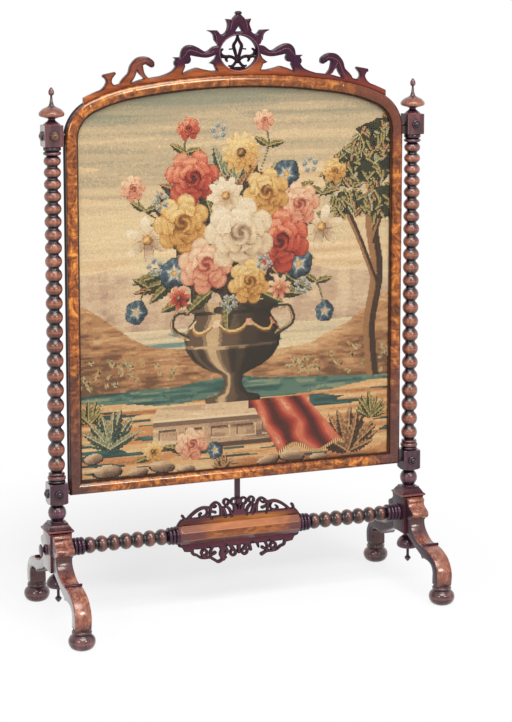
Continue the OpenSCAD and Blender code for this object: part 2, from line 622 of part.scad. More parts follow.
// Crest: a fretted board on the arch, drawn from the arch's top with z = 0 there
oval_z = 46.5;
ring_wall = 8;
tip_z = crest_h;
module oval(grow) { polygon([for (a = [0:5:355]) [(oval_w + grow) * cos(a), (oval_h + grow) * sin(a)]]); }
module crest_half() {
    // Ear near the end, with hollow sides and a sloping top
    polygon(concat([[318, -60]], spline([[311, -28], [300, -19], [295, -9], [298, -2], [303, 1]], 3),
        [[301.5, 6.5], [276, 11.5], [273.5, 8]], spline([[281, -1], [283, -9], [277, -16], [268, -19]], 3), [[262, -60]]));
    // Big scroll: a broad stem that turns over into a curl, with a thin inner stem
    ribbon([[263, -40, 26], [254, -14, 21], [240, 4, 17], [234, 20, 18], [222, 31, 20], [208, 34, 16], [197, 28, 15], [195, 25, 12]]);
    ribbon([[222, 20, 16], [216, 4, 12], [205, -14, 16], [196, -50, 24]]);
    // Spur stem and its two horns
    polygon(concat([[200, -60]], spline([[178, 0.5], [162, 5.5], [149, 12], [141, 22], [139, 31], [143, 36], [148, 39.5]], 3),
        [[129, 39.5], [122, 28], [121, 19], [126, 8], [126, -60]]));
    // Swan-necked arm from the spur over to the ring
    ribbon([[136, 27, 18], [123, 35, 20], [118, 49, 22], [110, 54, 22], [96, 50, 20], [80, 44.5, 14], [68, 45, 14], [54, 52, 18], [44, 56, 14]]);
    translate([117, 34]) circle(r = 9);
    // Horn on the ring's shoulder
    polygon(concat([[44, 60]], spline([[55, 74], [57, 84], [62, 90], [70, 93.5]], 3), [[69, 95.2], [49, 94.8], [45.5, 91]],
        spline([[42, 87], [36, 86], [30, 90]], 2), [[26, 70]]));
    // Cusp that breaks into the bay beside the ring
    polygon([[30, -10], [49.5, -10], [49.5, 8], [52.5, 14], [56, 22], [66, 25.5], [60, 30], [54, 35], [48, 46], [30, 46]]);
    // Low peak in the bay
    polygon(concat([[130, -40]], spline([[128, 5], [112, 12], [95, 17]], 2), spline([[95, 17], [75, 12], [50, 8]], 2), [[50, -40]]));
}
module crest_top() {
    both_sides() {
        polygon([[0, 78], [36, 78], [33, 87], [30, 90], [25.5, 98], [24.5, 106], [28.5, 118.5], [18, 117.5], [15, 112], [0, 108]]);
        polygon(concat([[0, 100], [17, 100]], spline([[16, 110], [13, 119], [6.5, 126]], 3), [[5.2, tip_z - 8], [0, tip_z - 8]]));
    }
    translate([0, tip_z - 4.4]) scale([1.55, 1]) circle(r = 4.4);
}
module crest_shape() {
    difference() {
        offset(delta = 0.6) offset(delta = -0.6) difference() {
            union() {
                intersection() {
                    translate([0, -arch_top]) polygon(panel_outline(-11, 3));
                    translate([-344.5, -80]) square([689, 140]);
                }
                both_sides() crest_half();
                crest_top();
                translate([0, oval_z]) oval(ring_wall);
                translate([-oval_w - 8, -5]) square([2 * oval_w + 16, 30]);
            }
            both_sides() polygon([[226, 9.5], [240.5, -11.5], [212.5, -3.5]]);
            translate([0, oval_z]) oval(0);
            polygon([[0, 104], [8, 92], [-8, 92]]);
        }
        translate([0, -arch_top]) polygon(panel_outline(-0.05, 3));
    }
}
crest_front = -7;
module crest() {
    color("sienna") translate([0, 0, arch_top]) difference() {
        upright(crest_front, crest_front + crest_t) crest_shape();
        upright(crest_front + crest_t - tracery_t, crest_front + crest_t + 1) translate([0, oval_z]) oval(rim);
        translate([0, 0, -arch_top]) crest_dowel_places() cylinder(r = crest_dowel_r, h = 20, center = true);
    }
}
rim = 3;
module crest_tracery() {
    color("#3a1c1c") translate([0, 0, arch_top + oval_z]) upright(crest_front + crest_t - tracery_t, crest_front + crest_t)
        offset(delta = -0.4) offset(delta = 0.4) {
            difference() {
                oval(rim - 0.2);
                oval(-0.6);
            }
            intersection() {
                oval(0);
                union() {
                    both_sides() tracery_half();
                    translate([0, oval_h - 4]) square([6, 12], center = true);
                    translate([0, -oval_h + 3]) square([34, 8], center = true);
                }
            }
        }
}
module tracery_half() {
    ribbon([[0, 34, 5], [4, 24, 6], [9, 15, 7], [6, 3, 7], [2, -12, 6], [1, -20, 6]]);
    ribbon([[8, 10, 4], [13, 8, 3], [18, 7.5, 3.4]]);
    ribbon([[2, -17, 6], [9, -11, 6.5], [18, -8, 7], [29, -8.5, 8], [37, -4, 7], [39, 3, 6], [34.5, 7.5, 5]]);
    ribbon([[32, -7, 6], [37, -10, 4], [41, -10, 4]]);
    ribbon([[25, -10, 7], [26, -14, 6], [24, -18, 4]]);
    ribbon([[2, -16, 6], [8, -25, 6], [14, -29, 6], [19, -28, 4.5]]);
}
crest_dowel_r = 2.5;
module crest_dowel_places() {
    for (x = [-150, -70, 70, 150]) translate([x, crest_front + crest_t / 2, crown_c[1] + sqrt(crown_r * crown_r - x * x)]) children();
}
module crest_dowels() { color("burlywood") crest_dowel_places() cylinder(r = crest_dowel_r, h = 19, center = true); }

on_left() post();  // left_post
on_right() post();  // right_post
on_left() finial();  // left_finial
on_right() finial();  // right_finial
on_left() cap();  // left_cap
on_right() cap();  // right_cap
on_left() pedestal();  // left_pedestal
on_right() pedestal();  // right_pedestal
on_left() pendant();  // left_pendant
on_right() pendant();  // right_pendant
on_left() stretcher_knob();  // left_stretcher_knob
on_right() stretcher_knob();  // right_stretcher_knob
on_left() mirror([0, 1, 0]) leg();  // front_left_leg
on_right() mirror([0, 1, 0]) leg();  // front_right_leg
on_left() leg();  // rear_left_leg
on_right() leg();  // rear_right_leg
on_left() mirror([0, 1, 0]) foot();  // front_left_foot
on_right() mirror([0, 1, 0]) foot();  // front_right_foot
on_left() foot();  // rear_left_foot
on_right() foot();  // rear_right_foot
leg_dowels();
union() { on_left() front_boss_places() boss(); on_right() front_boss_places() boss(); }  // front_bosses
union() { on_left() outer_boss_places() boss(); on_right() outer_boss_places() boss(); }  // outer_bosses
stretcher();
upper_fret();
lower_fret();
support_bar();
mirror([1, 0, 0]) right_stile();  // left_stile
right_stile();
bottom_rail();
arch_crown();
mirror([1, 0, 0]) arch_shoulder();  // left_arch_shoulder
arch_shoulder();  // right_arch_shoulder
mirror([1, 0, 0]) arch_corner();  // left_arch_corner
arch_corner();  // right_arch_corner
frame_pins();
sight_slip();
glass_pane();
needlework_canvas();
strainer();
back_board();
back_board_screws();
crest();
crest_tracery();
crest_dowels();
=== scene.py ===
import math

import bmesh
import bpy
import numpy as np
from mathutils import Matrix, Vector, geometry


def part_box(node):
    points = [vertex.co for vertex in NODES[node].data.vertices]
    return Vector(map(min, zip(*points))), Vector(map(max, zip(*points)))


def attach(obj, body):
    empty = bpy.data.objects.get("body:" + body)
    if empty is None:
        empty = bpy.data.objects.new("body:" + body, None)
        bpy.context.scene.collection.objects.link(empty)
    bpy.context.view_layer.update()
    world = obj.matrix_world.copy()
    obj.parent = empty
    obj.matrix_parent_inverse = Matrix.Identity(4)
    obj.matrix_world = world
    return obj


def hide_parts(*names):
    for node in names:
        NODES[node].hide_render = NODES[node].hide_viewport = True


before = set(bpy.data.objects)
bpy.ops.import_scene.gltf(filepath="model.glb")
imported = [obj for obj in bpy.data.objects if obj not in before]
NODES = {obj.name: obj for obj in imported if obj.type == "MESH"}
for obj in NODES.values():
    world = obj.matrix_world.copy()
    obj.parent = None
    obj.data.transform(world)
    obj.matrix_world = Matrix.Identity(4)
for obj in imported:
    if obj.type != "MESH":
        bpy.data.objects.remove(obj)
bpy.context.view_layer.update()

MM = 0.001
WHITE_LIGHT = (1, 1, 1, 1)

# Sizes that both materials and shapes use, in millimetres. At x the arch's top is ARCH_FALL times x squared
# below ARCH_Z.
ARCH_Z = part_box("arch_crown")[1].z / MM
ARCH_FALL = 0.000335
STRETCHER_Z = 166.0
STITCH = 2.5


def placed(name, data):
    made = bpy.data.objects.new(name, data)
    bpy.context.scene.collection.objects.link(made)
    return made


# Node trees

def linear(colour):
    """Linear values from sRGB ones of 0 to 255."""
    share = np.asarray(colour, float) / 255
    return np.where(share <= 0.04045, share / 12.92, ((share + 0.055) / 1.055) ** 2.4)


def shaded(colour, times):
    return tuple(c * times for c in colour)


class Value:
    """What a node gives. Python's own signs combine values in further nodes."""

    def __init__(self, tree, socket):
        self.tree = tree
        self.socket = socket

    def __add__(self, other):
        return self.tree.math("ADD", self, other)

    def __sub__(self, other):
        return self.tree.math("SUBTRACT", self, other)

    def __rsub__(self, other):
        return self.tree.math("SUBTRACT", other, self)

    def __mul__(self, other):
        return self.tree.math("MULTIPLY", self, other)

    def __truediv__(self, other):
        return self.tree.math("DIVIDE", self, other)

    def __abs__(self):
        return self.tree.math("ABSOLUTE", self)


class Tree:
    """The nodes of a material or world. A colour of three numbers is sRGB, from 0 to 255."""

    def __init__(self, owner):
        owner.use_nodes = True
        self.owner = owner
        self.nodes = owner.node_tree.nodes
        self.nodes.clear()

    def add(self, kind, inputs, out=0, **settings):
        node = self.nodes.new("ShaderNode" + kind)
        for key, value in settings.items():
            setattr(node, key, value)
        for key, value in inputs.items():
            if isinstance(value, Value):
                self.owner.node_tree.links.new(value.socket, node.inputs[key])
            else:
                node.inputs[key].default_value = value
        return Value(self, node.outputs[out]) if node.outputs else None

    def field(self, name):
        return self.add("Attribute", {}, "Fac", attribute_name=name)

    def place(self):
        return self.add("TexCoord", {}, "Object")

    def split(self, vector):
        first = self.add("SeparateXYZ", {0: vector})
        return [Value(self, socket) for socket in first.socket.node.outputs]

    def joined(self, x, y, z):
        return self.add("CombineXYZ", {0: x, 1: y, 2: z})

    def noise(self, vector, scale, detail=4.0, rough=0.55, twist=0.0):
        """Noise with scale features to the metre, along each axis where scale is three numbers."""
        scale = (scale,) * 3 if isinstance(scale, int) else scale
        spot = self.add("Mapping", {"Vector": vector, "Scale": scale})
        return self.add("TexNoise", {"Vector": spot, "Scale": 1.0, "Detail": detail, "Roughness": rough,
                                     "Distortion": twist}, "Fac")

    def speckle(self, **inputs):
        dimensions = "1D" if "W" in inputs else "3D"
        return self.add("TexWhiteNoise", inputs, "Value", noise_dimensions=dimensions)

    def math(self, operation, a, b=0.0, clamp=False):
        return self.add("Math", {0: a, 1: b}, operation=operation, use_clamp=clamp)

    def step(self, value, low, high, at_low=0.0, at_high=1.0):
        """A smooth step from at_low, where value is low, to at_high, where it is high."""
        return self.add("MapRange", {"Value": value, "From Min": low, "From Max": high, "To Min": at_low,
                                     "To Max": at_high}, interpolation_type="SMOOTHSTEP")

    def colour(self, value):
        return (*linear(value), 1.0) if isinstance(value, tuple) and len(value) == 3 else value

    def mix(self, factor, a, b, way="MIX"):
        return self.add("Mix", {0: factor, 6: self.colour(a), 7: self.colour(b)}, 2, data_type="RGBA",
                        blend_type=way)

    def ramp(self, value, *stops):
        made = self.add("ValToRGB", {"Fac": value})
        band = made.socket.node.color_ramp
        while len(band.elements) < len(stops):
            band.elements.new(0.5)
        for element, (position, colour) in zip(band.elements, stops):
            element.position = position
            element.color = self.colour(colour)
        return made

    def toned(self, body, share, *stops):
        """Multiplies body by the tones of a ramp, each given as its share of red, green and blue."""
        tones = self.ramp(share, *[(at, (*tone, 1)) for at, tone in stops])
        return self.mix(1.0, body, tones, "MULTIPLY")

    def finish(self, colour, rough, height, bump, depth, **sockets):
        """Ends a material in a shader with a relief of the given strength and depth in metres."""
        relief = self.add("Bump", {"Height": height, "Strength": bump, "Distance": depth})
        inputs = {"Base Color": colour, "Roughness": rough, "Normal": relief}
        inputs.update((key.replace("_", " "), value) for key, value in sockets.items())
        self.add("OutputMaterial", {"Surface": self.add("BsdfPrincipled", inputs)})
        return self.owner

    def seen(self):
        """1 for what the camera sees, in gloss and through glass too, and 0 for what lights the object."""
        camera, gloss, through = [self.add("LightPath", {}, f"Is {kind} Ray")
                                  for kind in ("Camera", "Glossy", "Transmission")]
        return self.math("MAXIMUM", self.math("MAXIMUM", camera, gloss), through)


def material(name):
    return Tree(bpy.data.materials.new(name))


# Camera and light. The camera is worked out from the photograph, PHOTO_H pixels high.

PHOTO_H = 722
FOCAL_PIXELS = 2065.02
SHIFT_PIXELS = -110
SENSOR = 36
AZIMUTH = math.radians(21.3)
ELEVATION = math.radians(8.33)
DISTANCE = 4.4748
TARGET = Vector((0.04107, 0.0, 0.78237))
LAMP_TARGET = Vector((0, 0, 0.7))
FLOOR_HALF = 60.0


def make_camera():
    level = math.cos(ELEVATION)
    back = Vector((-math.sin(AZIMUTH) * level, -math.cos(AZIMUTH) * level, math.sin(ELEVATION)))
    camera = placed("camera", bpy.data.cameras.new("camera"))
    camera.data.sensor_width = SENSOR
    camera.data.lens = FOCAL_PIXELS / PHOTO_H * SENSOR
    camera.data.shift_y = SHIFT_PIXELS / PHOTO_H
    camera.data.clip_end = 200
    turned = back.to_track_quat("Z", "Y").to_matrix().to_4x4()
    camera.matrix_world = Matrix.Translation(TARGET + DISTANCE * back) @ turned
    bpy.context.scene.camera = camera


def soft_box(name, place, size, power):
    lamp = placed(name, bpy.data.lights.new(name, "AREA"))
    lamp.data.shape = "RECTANGLE"
    lamp.data.size, lamp.data.size_y = size
    lamp.data.energy = power
    lamp.location = place
    lamp.rotation_euler = (LAMP_TARGET - Vector(place)).to_track_quat("-Z", "Y").to_euler()


def make_world():
    world = bpy.data.worlds.new("studio")
    bpy.context.scene.world = world
    t = Tree(world)
    lit = t.add("Background", {"Color": (1, 0.99, 0.975, 1), "Strength": 0.25})
    shown = t.add("Background", {"Color": WHITE_LIGHT, "Strength": 1.0})
    t.add("OutputWorld", {"Surface": t.add("MixShader", {0: t.seen(), 1: lit, 2: shown})})


def make_floor():
    """Pale paper that keeps the real shadow round the feet and fades to white beyond an oval. Inside the oval
    it glows a little less than white: a painted pool of shade round the object.
    """
    t = material("floor_paper")
    oval = t.add("Mapping", {"Vector": t.place(), "Location": (-0.06, -0.36, 0), "Scale": (1.45, 1.10, 1)})
    away = t.add("VectorMath", {0: oval}, "Value", operation="LENGTH")
    paper = t.add("BsdfDiffuse", {"Color": (0.235, 0.235, 0.24, 1)})
    glow = t.add("Emission", {"Color": WHITE_LIGHT, "Strength": 0.735})
    far = t.add("Emission", {"Color": WHITE_LIGHT, "Strength": 1.0})
    # Inside the oval: the real shadow and a glow a little under white, a painted pool of shade
    near = t.add("AddShader", {0: paper, 1: glow})
    shown = t.add("MixShader", {0: t.step(away, 0.25, 1.15), 1: near, 2: far})
    lit = t.add("BsdfDiffuse", {"Color": (0.80, 0.80, 0.80, 1)})
    t.add("OutputMaterial", {"Surface": t.add("MixShader", {0: t.seen(), 1: lit, 2: shown})})
    corners = [(x * FLOOR_HALF, y * FLOOR_HALF, 0) for x, y in ((-1, -1), (1, -1), (1, 1), (-1, 1))]
    mesh = bpy.data.meshes.new("floor")
    mesh.from_pydata(corners, [], [(0, 1, 2, 3)])
    mesh.materials.append(t.owner)
    floor = placed("floor", mesh)


# Shapes. Sizes are in millimetres until a mesh is made.

PLAIN_WEAR_AND_SHADING = 0.75
FACE_WEAR_AND_SHADING = 0.72
TOUCH = 0.05

# In a turning's profile, a smaller radius than this is its tip
TIP_RADIUS = 0.35

# How far the turned corners of a square block are from its axis, in half-sides of the square
BLOCK_CORNER = 1.372

# The least cosine of half the turn at a mitre
MITRE = 0.62


class Shape:
    """Points and faces. Each point has a level of wear and painted light, low for old wax and painted shade
    and high for wear and a painted highlight, and a darkening; which is the material of a face.
    """

    def __init__(self, points, faces, rub=PLAIN_WEAR_AND_SHADING, darkening=0.0, which=0):
        self.points = np.asarray(points, float)
        self.faces = faces
        self.rub = np.broadcast_to(rub, len(points))
        self.darkening = np.broadcast_to(darkening, len(points))
        self.which = np.broadcast_to(which, len(faces))

    def moved(self, matrix):
        m = np.array(matrix, float)
        mirrored = np.linalg.det(m[:3, :3]) < 0
        faces = [tuple(reversed(f)) for f in self.faces] if mirrored else self.faces
        return Shape(self.points @ m[:3, :3].T + m[:3, 3], faces, self.rub, self.darkening, self.which)

    def at(self, x, y, z):
        return Shape(self.points + (x, y, z), self.faces, self.rub, self.darkening, self.which)

    def __add__(self, other):
        start = len(self.points)
        faces = self.faces + [tuple(start + i for i in f) for f in other.faces]
        points, *fields = [np.concatenate([getattr(shape, key) for shape in (self, other)])
                           for key in ("points", "rub", "darkening", "which")]
        return Shape(points, faces, *fields)

    def stained(self, rows):
        """Gives each point's darkening by its height, from (height, darkening) rows."""
        self.darkening = graded(self.points[:, 2], rows)

    def split_sides(self, half):
        """Gives the outer side, half away from the axis, material 1, and the inner side material 2. These are
        a paler copy of the wood, as painted light, and a darker copy, as painted shade.
        """
        x = self.points[:, 0]
        outer = x > half - TOUCH
        inner = x < TOUCH - half
        self.which = [1 if all(outer[list(f)]) else 2 if all(inner[list(f)]) else 0 for f in self.faces]

    def faced_out(self):
        """Turns the faces of a closed shape so that they all face out."""
        bm = bmesh.new()
        verts = [bm.verts.new(p) for p in self.points]
        for face in self.faces:
            try:
                bm.faces.new([verts[i] for i in face])
            except ValueError:
                pass
        bmesh.ops.recalc_face_normals(bm, faces=bm.faces)
        bm.verts.index_update()
        faces = [tuple(v.index for v in f.verts) for f in bm.faces]
        bm.free()
        return Shape(self.points, faces, self.rub, self.darkening)

    def make(self, name, materials, slot, nodes=(), sharp=38, **fields):
        mesh = bpy.data.meshes.new(name)
        mesh.from_pydata((self.points * MM).tolist(), [], self.faces)
        for entry in materials:
            mesh.materials.append(entry)
        mesh.polygons.foreach_set("material_index", np.array(self.which, np.int32))
        for key, values in {**fields, "rub": self.rub, "darkening": self.darkening}.items():
            field = mesh.attributes.new(key, "FLOAT", "POINT")
            field.data.foreach_set("value", np.array(values, np.float32))
        mesh.validate()
        mesh.shade_smooth()
        mesh.set_sharp_from_angle(angle=math.radians(sharp))
        made = placed(name, mesh)
        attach(made, "root")
        if nodes:
            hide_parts(*nodes)
        return made


def graded(places, rows, **ends):
    """What rows of (place, value) give at each place."""
    return np.interp(places, *zip(*rows), **ends)


def skin(rings, n, start=0):
    """The faces between rings of n points each."""
    corners = ((0, 0), (0, 1), (1, 1), (1, 0))
    return [tuple(start + (k + up) * n + (i + on) % n for up, on in corners)
            for k in range(rings - 1) for i in range(n)]


def lids(rings, n):
    return [tuple(range(n - 1, -1, -1)), tuple((rings - 1) * n + i for i in range(n))]


def bead(z0, z1, r0, r1, n):
    turns = [math.pi * i / n for i in range(n + 1)]
    return [(r0 + (r1 - r0) * math.sin(a), (z0 + z1) / 2 - (z1 - z0) / 2 * math.cos(a)) for a in turns]


def curve(points, n):
    """A smooth curve through points, with n steps between two of them."""
    last = len(points) - 1
    out = []
    for i in range(last):
        a, b, c, d = [np.array(points[min(max(k, 0), last)], float) for k in range(i - 1, i + 3)]
        for t in [k / n for k in range(n)]:
            out.append(tuple(0.5 * (2 * b + (c - a) * t + (2 * a - 5 * b + 4 * c - d) * t * t
                                    + (3 * b - a - 3 * c + d) * t ** 3)))
    return out + [tuple(points[last])]


def proudness(profile, reach):
    """How far each point stands out of those within reach, from 0.02 to 1."""
    r, z = np.array(profile).T
    out = []
    for i in range(len(r)):
        near = r[np.abs(z - z[i]) <= reach]
        span = near.max() - near.min()
        out.append(FACE_WEAR_AND_SHADING if span < 0.8 else 0.02 + 0.98 * (r[i] - near.min()) / span)
    return np.array(out)


QUARTER = [0, 7, 14, 21, 28, 34, 39, 42.2, 44.1, 45, 45.9, 47.8, 51, 56, 62, 69, 76, 83]


def lathe(profile, square=None, steps=64, reach=9.0):
    """A turning about Z from (radius, height) points. Where square gives a half-side for a point, the wood
    keeps that square section, and its corners are turned off."""
    angles = [2 * math.pi * i / steps for i in range(steps)]
    if square:
        angles = [math.radians(quarter + a) for quarter in (0, 90, 180, 270) for a in QUARTER]
    points = []
    rub = []
    rings = []
    for i, ((r, z), wear_and_highlight) in enumerate(zip(profile, proudness(profile, reach))):
        start = len(points)
        half = square[i] if square else None
        tip = r < TIP_RADIUS
        for a in [0.0] if tip else angles:
            radius = 0.0 if tip else r
            value = wear_and_highlight
            if half:
                flat = half / max(abs(math.cos(a)), abs(math.sin(a)))
                radius = min(r, flat, half * BLOCK_CORNER)
                value = 0.7 if radius < r - TOUCH and radius < half * (BLOCK_CORNER - 0.012) else 1.0
            points.append((radius * math.cos(a), radius * math.sin(a), z))
            rub.append(value)
        rings.append(range(start, len(points)))
    faces = []
    for low, high in zip(rings, rings[1:]):
        n = max(len(low), len(high))
        for k in range(n):
            j = (k + 1) % n
            if len(low) == 1:
                faces.append((low[0], high[j], high[k]))
            elif len(high) == 1:
                faces.append((low[k], low[j], high[0]))
            else:
                faces.append((low[k], low[j], high[j], high[k]))
    faces += [tuple(ring) for ring in (rings[0][::-1], rings[-1]) if len(ring) > 1]
    return Shape(points, faces, rub)


def unit(vectors):
    return vectors / np.linalg.norm(vectors, axis=1)[:, None]


def inset(loop, d):
    """The loop drawn in by d on its left side, with its mitres held back at sharp points."""
    ahead = unit(np.roll(loop, -1, 0) - loop)
    behind = np.roll(ahead, 1, 0)
    n0, n1 = [np.stack([-way[:, 1], way[:, 0]], 1) for way in (behind, ahead)]
    middle = n0 + n1
    middle /= np.maximum(np.linalg.norm(middle, axis=1), 1e-6)[:, None]
    cosine = np.clip((middle * n1).sum(1), MITRE, 1)
    return loop + middle * (d / cosine)[:, None]


def inside(spots, starts, ends):
    """Says which spots lie inside closed loops, given as the two ends of each of their edges."""
    x, y = spots.T[:, :, None]
    crossing = (starts[:, 1] > y) != (ends[:, 1] > y)
    span = np.where(ends[:, 1] == starts[:, 1], 1e-9, ends[:, 1] - starts[:, 1])
    at = starts[:, 0] + (y - starts[:, 1]) / span * (ends[:, 0] - starts[:, 0])
    return (np.sum(crossing & (x < at), 1) % 2).astype(bool)


def rim_distance(spots, starts, ends):
    way = ends - starts
    size = np.maximum((way ** 2).sum(1), 1e-12)
    best = []
    for k in range(0, len(spots), 500):
        part = spots[k:k + 500, None, :]
        t = np.clip(((part - starts) * way).sum(2) / size, 0, 1)
        near = starts + t[:, :, None] * way
        best.append(np.sqrt(((part - near) ** 2).sum(2)).min(1))
    return np.concatenate(best)


def filled(rings, spacing):
    """Covers the face inside rings with triangles that have points within it too. Gives the points, those of
    the rings first, the triangles, and how far each point lies from the rim."""
    rim = np.concatenate(rings)
    ends = np.concatenate([np.roll(r, -1, 0) for r in rings])
    links = []
    for r in rings:
        start = len(links)
        links += [(start + i, start + (i + 1) % len(r)) for i in range(len(r))]
    low = rim.min(0) + spacing * 0.37
    high = rim.max(0)
    spots = np.array([(u, v) for k, v in enumerate(np.arange(low[1], high[1], spacing * 0.87))
                      for u in np.arange(low[0] + (k % 2) * spacing / 2, high[0], spacing)])
    spots = spots[inside(spots, rim, ends)]
    away = rim_distance(spots, rim, ends)
    clear = away > spacing * 0.55
    points = list(np.concatenate([rim, spots[clear]]))
    depth = list(np.concatenate([np.zeros(len(rim)), away[clear]]))
    made, _, faces, source, _, _ = geometry.delaunay_2d_cdt([Vector(p) for p in points], links, [], 0, 1e-7)
    order = []
    for spot, old in zip(made, source):
        order.append(old[0] if old else len(points))
        if not old:
            points.append(np.array(spot))
            depth.append(0.0)
    points = np.array(points)
    triangles = np.array([[order[i] for i in f] for f in faces])
    return points, triangles[inside(points[triangles].mean(1), rim, ends)], np.array(depth)


def plate(loops, front, back, bevel, place, back_bevel, side_rub=0.3, cap_rub=FACE_WEAR_AND_SHADING, edge_rub=1.0,
          pillow=0.0, reach=3.6, spacing=2.4):
    """A board cut to loops, outer ones anticlockwise and holes clockwise, with rounded arrises. Where pillow
    is given, the front swells by that much within reach of its edges, with points at the given spacing.
    place(a, b, depth) gives a point in space."""
    steps = 4
    sign = 1 if back > front else -1
    rim = front + sign * pillow
    turns = [math.pi / 2 * k / steps for k in range(steps + 1)]
    rows = [(bevel * (1 - math.sin(a)), rim + sign * bevel * (1 - math.cos(a))) for a in turns]
    rows += [(back_bevel * (1 - math.cos(a)), back - sign * back_bevel * (1 - math.sin(a)))
             for a in turns[::2]]
    values = [edge_rub if pillow else cap_rub] + [edge_rub] * (steps - 1)
    values += [side_rub + 0.2, side_rub, 0.5, cap_rub]
    points = []
    rub = []
    faces = []
    caps = {0: [], len(rows) - 1: []}
    for loop in loops:
        n = len(loop)
        faces += skin(len(rows), n, len(points))
        for k, ((d, depth), value) in enumerate(zip(rows, values)):
            ring = inset(loop, d) if d > 1e-6 else loop
            if k in caps:
                caps[k].append((len(points), ring))
            points.extend([place(a, b, depth) for a, b in ring])
            rub.extend([value] * n)
    for k, rings in caps.items():
        index = [start + i for start, ring in rings for i in range(len(ring))]
        if pillow and k == 0:
            spots, triangles, away = filled([ring for _, ring in rings], spacing)
            rise = np.sin(np.clip(away / reach, 0, 1) * math.pi / 2)
            for (a, b), up in list(zip(spots, rise))[len(index):]:
                index.append(len(points))
                points.append(place(a, b, rim - sign * pillow * up))
                rub.append(edge_rub + (cap_rub - edge_rub) * up)
        else:
            flat = [[Vector((a, b, 0)) for a, b in ring] for _, ring in rings]
            triangles = geometry.tessellate_polygon(flat)
        faces.extend(tuple(index[i] for i in t) for t in triangles)
    return Shape(points, faces, rub).faced_out()


def block(low, high, bevel):
    """A box with rounded arrises, made as a board in the XY plane."""
    loop = []
    for x, y, start in ((high[0] - bevel, low[1] + bevel, -90), (high[0] - bevel, high[1] - bevel, 0),
                        (low[0] + bevel, high[1] - bevel, 90), (low[0] + bevel, low[1] + bevel, 180)):
        for a in np.radians([start, start + 30, start + 60, start + 90]):
            loop.append((x + bevel * math.cos(a), y + bevel * math.sin(a)))
    end_bevel = bevel * 0.9
    made = plate([np.array(loop)], low[2], high[2], end_bevel, lambda a, b, depth: (a, b, depth), end_bevel)
    return Shape(made.points, made.faces)


def face_loops(node, depth):
    """The outlines, in millimetres, of a CAD node's flat faces that lie in the plane y = depth."""
    mesh = NODES[node].data
    mesh.calc_loop_triangles()
    spots = np.array([v.co for v in mesh.vertices], float) / MM
    ids = {}
    weld = [ids.setdefault(tuple(key), len(ids)) for key in np.round(spots * 200).astype(int)]
    where = {}
    edges = set()
    for triangle in mesh.loop_triangles:
        corners = list(triangle.vertices)
        if any(abs(spots[c][1] - depth) >= 0.02 for c in corners):
            continue
        welded = [weld[c] for c in corners]
        where.update(zip(welded, spots[corners][:, [0, 2]]))
        edges.update((a, b) for a, b in zip(welded, welded[1:] + welded[:1]) if a != b)
    ahead = {}
    for a, b in edges:
        if (b, a) not in edges:
            ahead.setdefault(a, []).append(b)
    loops = []
    while ahead:
        start = at = min(ahead)
        loop = []
        while at in ahead and not (loop and at == start):
            loop.append(where[at])
            step = ahead[at].pop(0)
            if not ahead[at]:
                del ahead[at]
            at = step
        if len(loop) > 2:
            loops.append(np.array(loop))
    return loops


def area(loop):
    x, y = loop.T
    return 0.5 * float(np.sum(x * np.roll(y, -1) - np.roll(x, -1) * y))


def smooth(loop, corner=34.0, step=1.1):
    """Rounds a polygon off between its true corners and long straight sides, which stay as they are."""
    loop = loop[[i for i in range(len(loop)) if np.linalg.norm(loop[i] - loop[i - 1]) > 0.12]]
    n = len(loop)
    chord = np.roll(loop, -1, 0) - loop
    size = np.linalg.norm(chord, axis=1)
    way = chord / size[:, None]
    turn = np.degrees(np.arccos(np.clip((way * np.roll(way, 1, 0)).sum(1), -1, 1)))

    def is_long(this, other):
        return size[this] > 3.2 * size[other] and size[this] > 6

    def tangent(k, own):
        if turn[k] > corner:
            return way[own]
        if is_long(k - 1, k):
            return way[k - 1]
        if is_long(k, k - 1):
            return way[k]
        middle = way[k - 1] * size[k] + way[k] * size[k - 1]
        return middle / np.linalg.norm(middle)

    out = []
    for i in range(n):
        j = (i + 1) % n
        out.append(loop[i])
        if is_long(i, i - 1) or is_long(i, j):
            continue
        a = tangent(i, i) * size[i]
        b = tangent(j, i) * size[i]
        parts = int(min(5, max(1, round(size[i] / step))))
        for t in [k / parts for k in range(1, parts)]:
            out.append((2 * t ** 3 - 3 * t ** 2 + 1) * loop[i] + (t ** 3 - 2 * t ** 2 + t) * a
                       + (3 * t ** 2 - 2 * t ** 3) * loop[j] + (t ** 3 - t ** 2) * b)
    return np.array(out)


def board_from(node, front, back, bevel, **more):
    """A fretted board with the outline of a CAD node's flat front, smoothed, and rounded at its arrises."""
    loops = [smooth(loop) for loop in face_loops(node, front)]
    if sum(area(loop) for loop in loops) < 0:
        loops = [loop[::-1] for loop in loops]
    return plate(loops, front, back, bevel, lambda a, b, depth: (a, depth, b), **more)


# Materials

WARM = (1.0, 0.72, 0.54, 1.0)
GOLDEN = (1.0, 0.74, 0.46, 1.0)
VENEER_LENGTH = 0.128


def grained(axis, across, along):
    """The scale of a grain that runs along an axis."""
    return tuple(along if a == axis else across for a in "XYZ")


